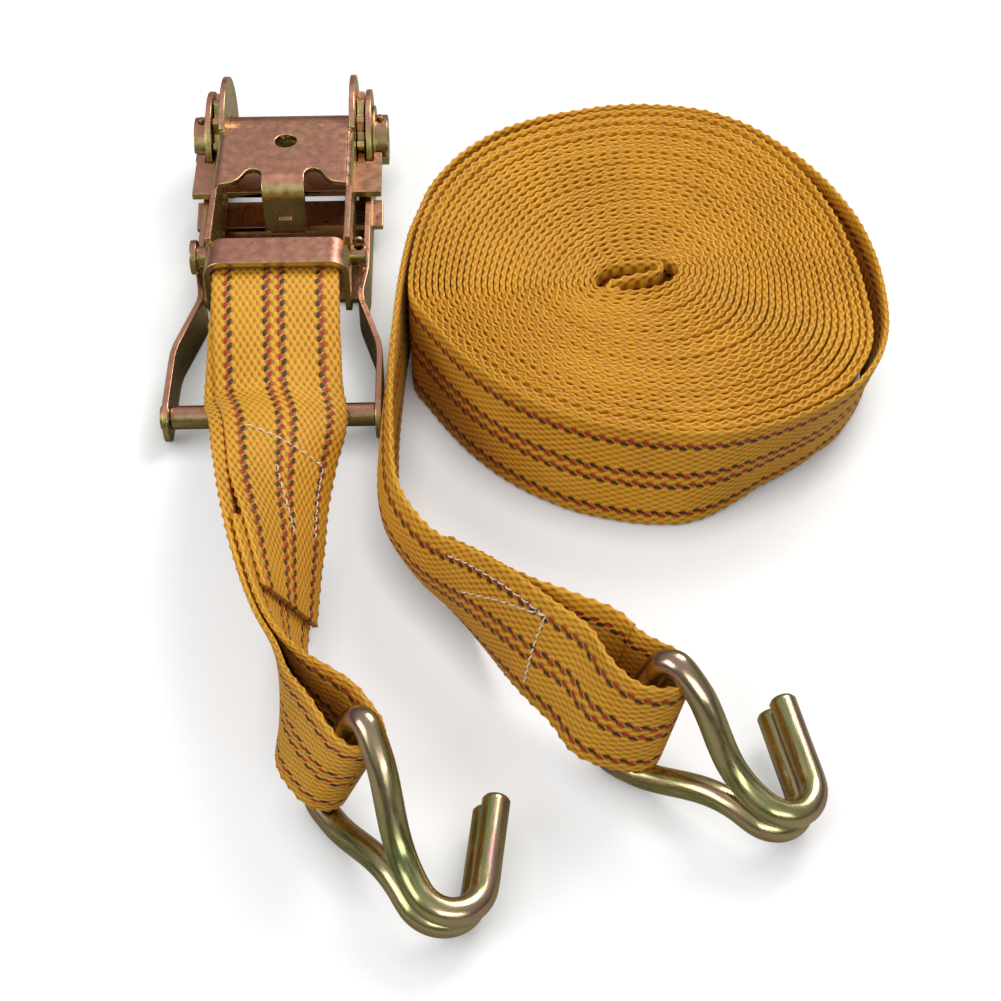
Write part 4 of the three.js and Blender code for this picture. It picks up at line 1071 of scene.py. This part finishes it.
def long_tail():
    """The last stretch: along the outside of the coil, down the tail and round the hook."""
    coil = coil_rows(0.0, SEAM, step=0.8)[0]
    s = np.linspace(0, tail.length, 900)
    points, across = run(tail, s, long_front(s))
    keep = np.linalg.norm(coil.middle[:, :2] - points[0, :2], axis=1) > JOIN_CLEAR
    coil_part = coil.middle[keep], coil.across[keep]
    chosen = s > JOIN_CLEAR
    front = points[chosen], across[chosen]
    s = np.linspace(tail.length, tail.length - LONG_JOINT, 30)[1:]
    back = run(tail, s, -long_back(s))

    rows = strap_rows(*chain(coil_part, front, fold(tail, LONG_AHEAD, LONG_GAP), back))
    tail_start = arc_length(np.vstack([coil_part[0], front[0][:1]]))[-1] - JOIN_CLEAR
    station = rows.along - tail_start
    arch = np.where(station < tail.length, tail_arch(station), 0.0)
    half = narrowing(station, tail.length)
    cut = int(0.16 * len(station))
    for name, part in (("long_strap_tail_start", slice(0, cut + 1)),
                       ("long_strap_tail", slice(cut, None))):
        strap_piece(name, "long_strap", Rows(*(v[part] for v in rows)), half[part], seed=11,
                    arch=arch[part], replaced="long_strap")
    return rows._replace(along=station), half, arch


def long_sewn_back():
    """The strap's end, back from the hook behind the tail."""
    s = np.linspace(tail.length - (LONG_JOINT - LAP), tail.length - SEWN_LENGTH, 300)
    shift = -3.2 * smooth((tail.length - 38 - s) / 26)
    rows = strap_rows(*run(tail, s, -long_back(s), shift))
    station = np.linspace(s[0], s[-1], len(rows.along))
    strap_piece("long_strap_sewn_back", "long_strap", rows, narrowing(station, tail.length),
                seed=13, arch=-tail_arch(station))


def outer_turn():
    """The rest of the outermost turn, woven on its outer face and at the top of its inner one."""
    rows, half, _ = coil_rows(SEAM - 0.003, 1.04, ROW_STEP)
    inner = np.concatenate([[-1.0, -0.96], np.linspace(-0.9, 0.5, 4), WOVEN[-24:]])
    strap_piece("long_strap_outer_turn", "long_strap", rows, half, seed=17, inner=inner)


# folded start of the strap in the middle of the coil: along and across the core's long axis
CORE_FOLD = (
    (-8.6, -5.9), (-11.2, -5.9), (-12.6, -4.2), (-11.4, -2.0), (-7, -1.1), (-1, -0.7),
    (5, -0.8), (9.0, -0.2), (11.2, 2.2), (9.8, 5.0), (5.5, 6.6),
)


def add_core_fold(rows, half, spacing):
    """Put the folded start in place of the innermost rows."""
    replaced = 12
    step = 0.5
    long_axis = np.array([math.cos(CORE_TILT), math.sin(CORE_TILT)])
    short_axis = np.array([-math.sin(CORE_TILT), math.cos(CORE_TILT)])
    path = np.array([CORE + long_axis * p + short_axis * q for p, q in CORE_FOLD]
                    + [rows.middle[replaced // 2, :2], rows.middle[replaced, :2]])
    path = catmull(path, np.linspace(0, len(path) - 1, 400))
    length = arc_length(path)
    s = np.arange(0, length[-1], step)
    path = resample(path, length, s)
    added = len(path)
    path = np.column_stack([path, np.full(added, rows.middle[0, 2])])
    middle = np.vstack([path, rows.middle[replaced:]])
    across = np.vstack([np.repeat([[0.0, 0.0, 1.0]], added, axis=0), rows.across[replaced:]])
    normal = unit(np.cross(unit(np.gradient(middle, axis=0)), across))
    old = rows.along[replaced:]
    along = np.concatenate([s, s[-1] + 0.55 + old - old[0]])
    half = np.concatenate([np.full(added, half[0]), half[replaced:]])
    spacing = np.concatenate([np.full(added, 2.6), spacing[replaced:]])
    return Rows(middle, across, normal, along), half, spacing


# the inner turns' pieces: outer end, inner end, clearance between turns
INNER_PIECES = (
    (1.0, 4.2, 0.55), (4.2, 9.0, 0.50), (9.0, 16.5, 0.40), (16.5, TURNS + 0.14, 0.30),
)
PIECE_OVERLAP = 0.004   # of a turn
# only their upper edges show, so the columns gather there
UPPER_COLUMNS = np.array([-1.0, -0.95, 0.80, 0.89, 0.94, 0.966, 0.985, 1.0])


def inner_turns():
    for k, (outer_end, inner_end, clearance) in enumerate(INNER_PIECES):
        innermost = k == len(INNER_PIECES) - 1
        overlap = 0.0 if innermost else PIECE_OVERLAP
        rows, half, spacing = coil_rows(outer_end, inner_end + overlap, PITCH / 5)
        if innermost:
            rows, half, spacing = add_core_fold(rows, half, spacing)
        rows = rows._replace(along=rows.along + 1.3 * k)   # sets each piece's weave apart
        strap_piece(f"long_strap_turns_{k + 1}", "long_strap", rows, half, seed=20 + k,
                    outer=UPPER_COLUMNS, thick=np.clip(spacing - clearance, 1.30, 2.15),
                    relief=0.17, scallop=0.13)


long_sewn = long_tail()
long_sewn_back()
outer_turn()
inner_turns()

# ------------------------------------------------------------------ sewing
# lines on each strap's outer face: (across, along), along counted from the top of the anchor pin
# and from the start of the tail's surface
FIXED_LINES = [[(8, 108), (42, 122)], [(42, 122), (41, 156)], [(20, 126), (27, 158)]]
LONG_LINES = [[(44, 178), (43.5, 228)], [(30, 190), (43.5, 228)], [(43.5, 228), (9, 229)]]

STITCH_LENGTH = 3.9
STITCH_LIFT = WEB_T / 2 + RELIEF
THREAD_R = 0.27
STITCH_SIDES = 7
# along one stitch: height over the webbing, share of the thread's radius
STITCH_RISE = np.array([-0.45, 0.12, 0.42, 0.50, 0.42, 0.12, -0.45])
STITCH_TAPER = np.array([0.7, 0.95, 1, 1, 1, 0.95, 0.7])


def stitch(rows, half, arch, x, s):
    """Rings of one stitch through the points x across and s along."""
    middle = resample(rows.middle, rows.along, s)
    across, normal = (unit(resample(v, rows.along, s)) for v in (rows.across, rows.normal))
    half, arch = (np.interp(s, rows.along, v) for v in (half, arch))
    points, normal, _ = section(middle, across, normal, half, arch, x / HALF_W - 1)
    path = points + normal * (STITCH_LIFT + STITCH_RISE)[:, None]
    travel = unit(np.gradient(path, axis=0))
    side_a = unit(np.cross(travel, normal))
    angles = np.linspace(0, 2 * math.pi, STITCH_SIDES, endpoint=False)
    return round_rings(path, THREAD_R * STITCH_TAPER, side_a, np.cross(travel, side_a), angles)


def stitches(body, sewn, lines):
    points, quads, caps = [], [], []
    stations = len(STITCH_RISE)
    for line in lines:
        line = np.array(line, float)
        length = arc_length(line)
        count = max(1, int(round(length[-1] / STITCH_LENGTH)))
        for i in range(count):
            start, end = (i + 0.07) / count * length[-1], (i + 0.90) / count * length[-1]
            x, s = resample(line, length, np.linspace(start, end, stations)).T
            first = len(points) * stations * STITCH_SIDES
            points.append(stitch(*sewn, x, s).reshape(-1, 3))
            sides, ends = tube_faces(stations, STITCH_SIDES, first)
            quads.append(sides)
            caps += ends
    ob = make_object(body + "_threads", np.vstack(points), np.vstack(quads), caps)
    dress(ob, "thread", body, body + "_stitching")


stitches("fixed_strap", fixed_sewn, FIXED_LINES)
stitches("long_strap", long_sewn, LONG_LINES)


# ------------------------------------------------------------------ floor, light, camera; metres
def aim(ob, at, target):
    ob.location = at
    ob.rotation_euler = (Vector(target) - Vector(at)).to_track_quat("-Z", "Y").to_euler()


def make_floor():
    """Grey floor that glows to the camera, except close under the product."""
    bpy.ops.mesh.primitive_plane_add(size=8.0, location=(0, 0, -0.0004))
    floor = bpy.context.object
    floor.name = "floor"
    g = Graph("floor")
    seen = g.node("ShaderNodeLightPath").outputs["Is Camera Ray"]
    bounced_colour, seen_colour, glow = (0.34, 0.31, 0.27), (0.50, 0.50, 0.50), 0.52
    occlusion = g.node("ShaderNodeAmbientOcclusion", {"Distance": 0.014}, samples=4)
    open_glow = g.multiply(g.multiply(seen, occlusion.outputs["AO"]), glow)
    floor.data.materials.append(g.shade({
        "Base Color": g.mix(seen, bounced_colour, seen_colour),
        "Emission Color": (1.0, 1.0, 1.0, 1.0),
        "Emission Strength": open_glow,
        "Roughness": 0.85,
        "Specular IOR Level": 0.1,
    }))


def make_world():
    """Sky that brightens with height."""
    world = bpy.data.worlds.new("studio")
    bpy.context.scene.world = world
    world.use_nodes = True
    nodes, links = world.node_tree.nodes, world.node_tree.links
    background = nodes["Background"]
    coords = nodes.new("ShaderNodeTexCoord")
    split = nodes.new("ShaderNodeSeparateXYZ")
    links.new(coords.outputs["Generated"], split.inputs[0])
    ramp = nodes.new("ShaderNodeValToRGB")
    low, high = ramp.color_ramp.elements
    low.position, low.color = 0.0, (0.10, 0.085, 0.07, 1)
    high.position, high.color = 0.85, (0.80, 0.80, 0.79, 1)
    links.new(split.outputs["Z"], ramp.inputs[0])
    links.new(ramp.outputs[0], background.inputs["Color"])
    background.inputs["Strength"].default_value = 0.62


def area_light(name, at, size, power, colour=(1, 1, 1)):
    light = bpy.data.lights.new(name, "AREA")
    light.shape = "RECTANGLE"
    light.size, light.size_y = size
    light.energy = power
    light.color = colour
    ob = bpy.data.objects.new(name, light)
    aim(ob, at, target=(0.0, 0.0, 0.0))
    bpy.context.scene.collection.objects.link(ob)


def make_camera():
    lens = bpy.data.cameras.new("camera")
    camera = bpy.data.objects.new("camera", lens)
    bpy.context.scene.collection.objects.link(camera)
    aim(camera, to_frame([-12.12, -462.9, 496.6]), target=to_frame([0.0, 0.0, 0.0]))
    lens.sensor_width = 36.0
    lens.lens = 64.735265
    lens.clip_start, lens.clip_end = 0.01, 20.0
    scene = bpy.context.scene
    scene.camera = camera
    scene.view_settings.view_transform = "Standard"
    scene.view_settings.look = "None"


make_floor()
make_world()
area_light("key", at=(0.55, 0.75, 1.15), size=(0.7, 0.7), power=16.0, colour=(1.0, 0.985, 0.96))
area_light("fill", at=(-0.9, -0.5, 0.8), size=(0.9, 0.6), power=7.0, colour=(0.97, 0.98, 1.0))
area_light("front", at=(0.5, -1.1, 0.7), size=(0.9, 0.35), power=5.0)
make_camera()
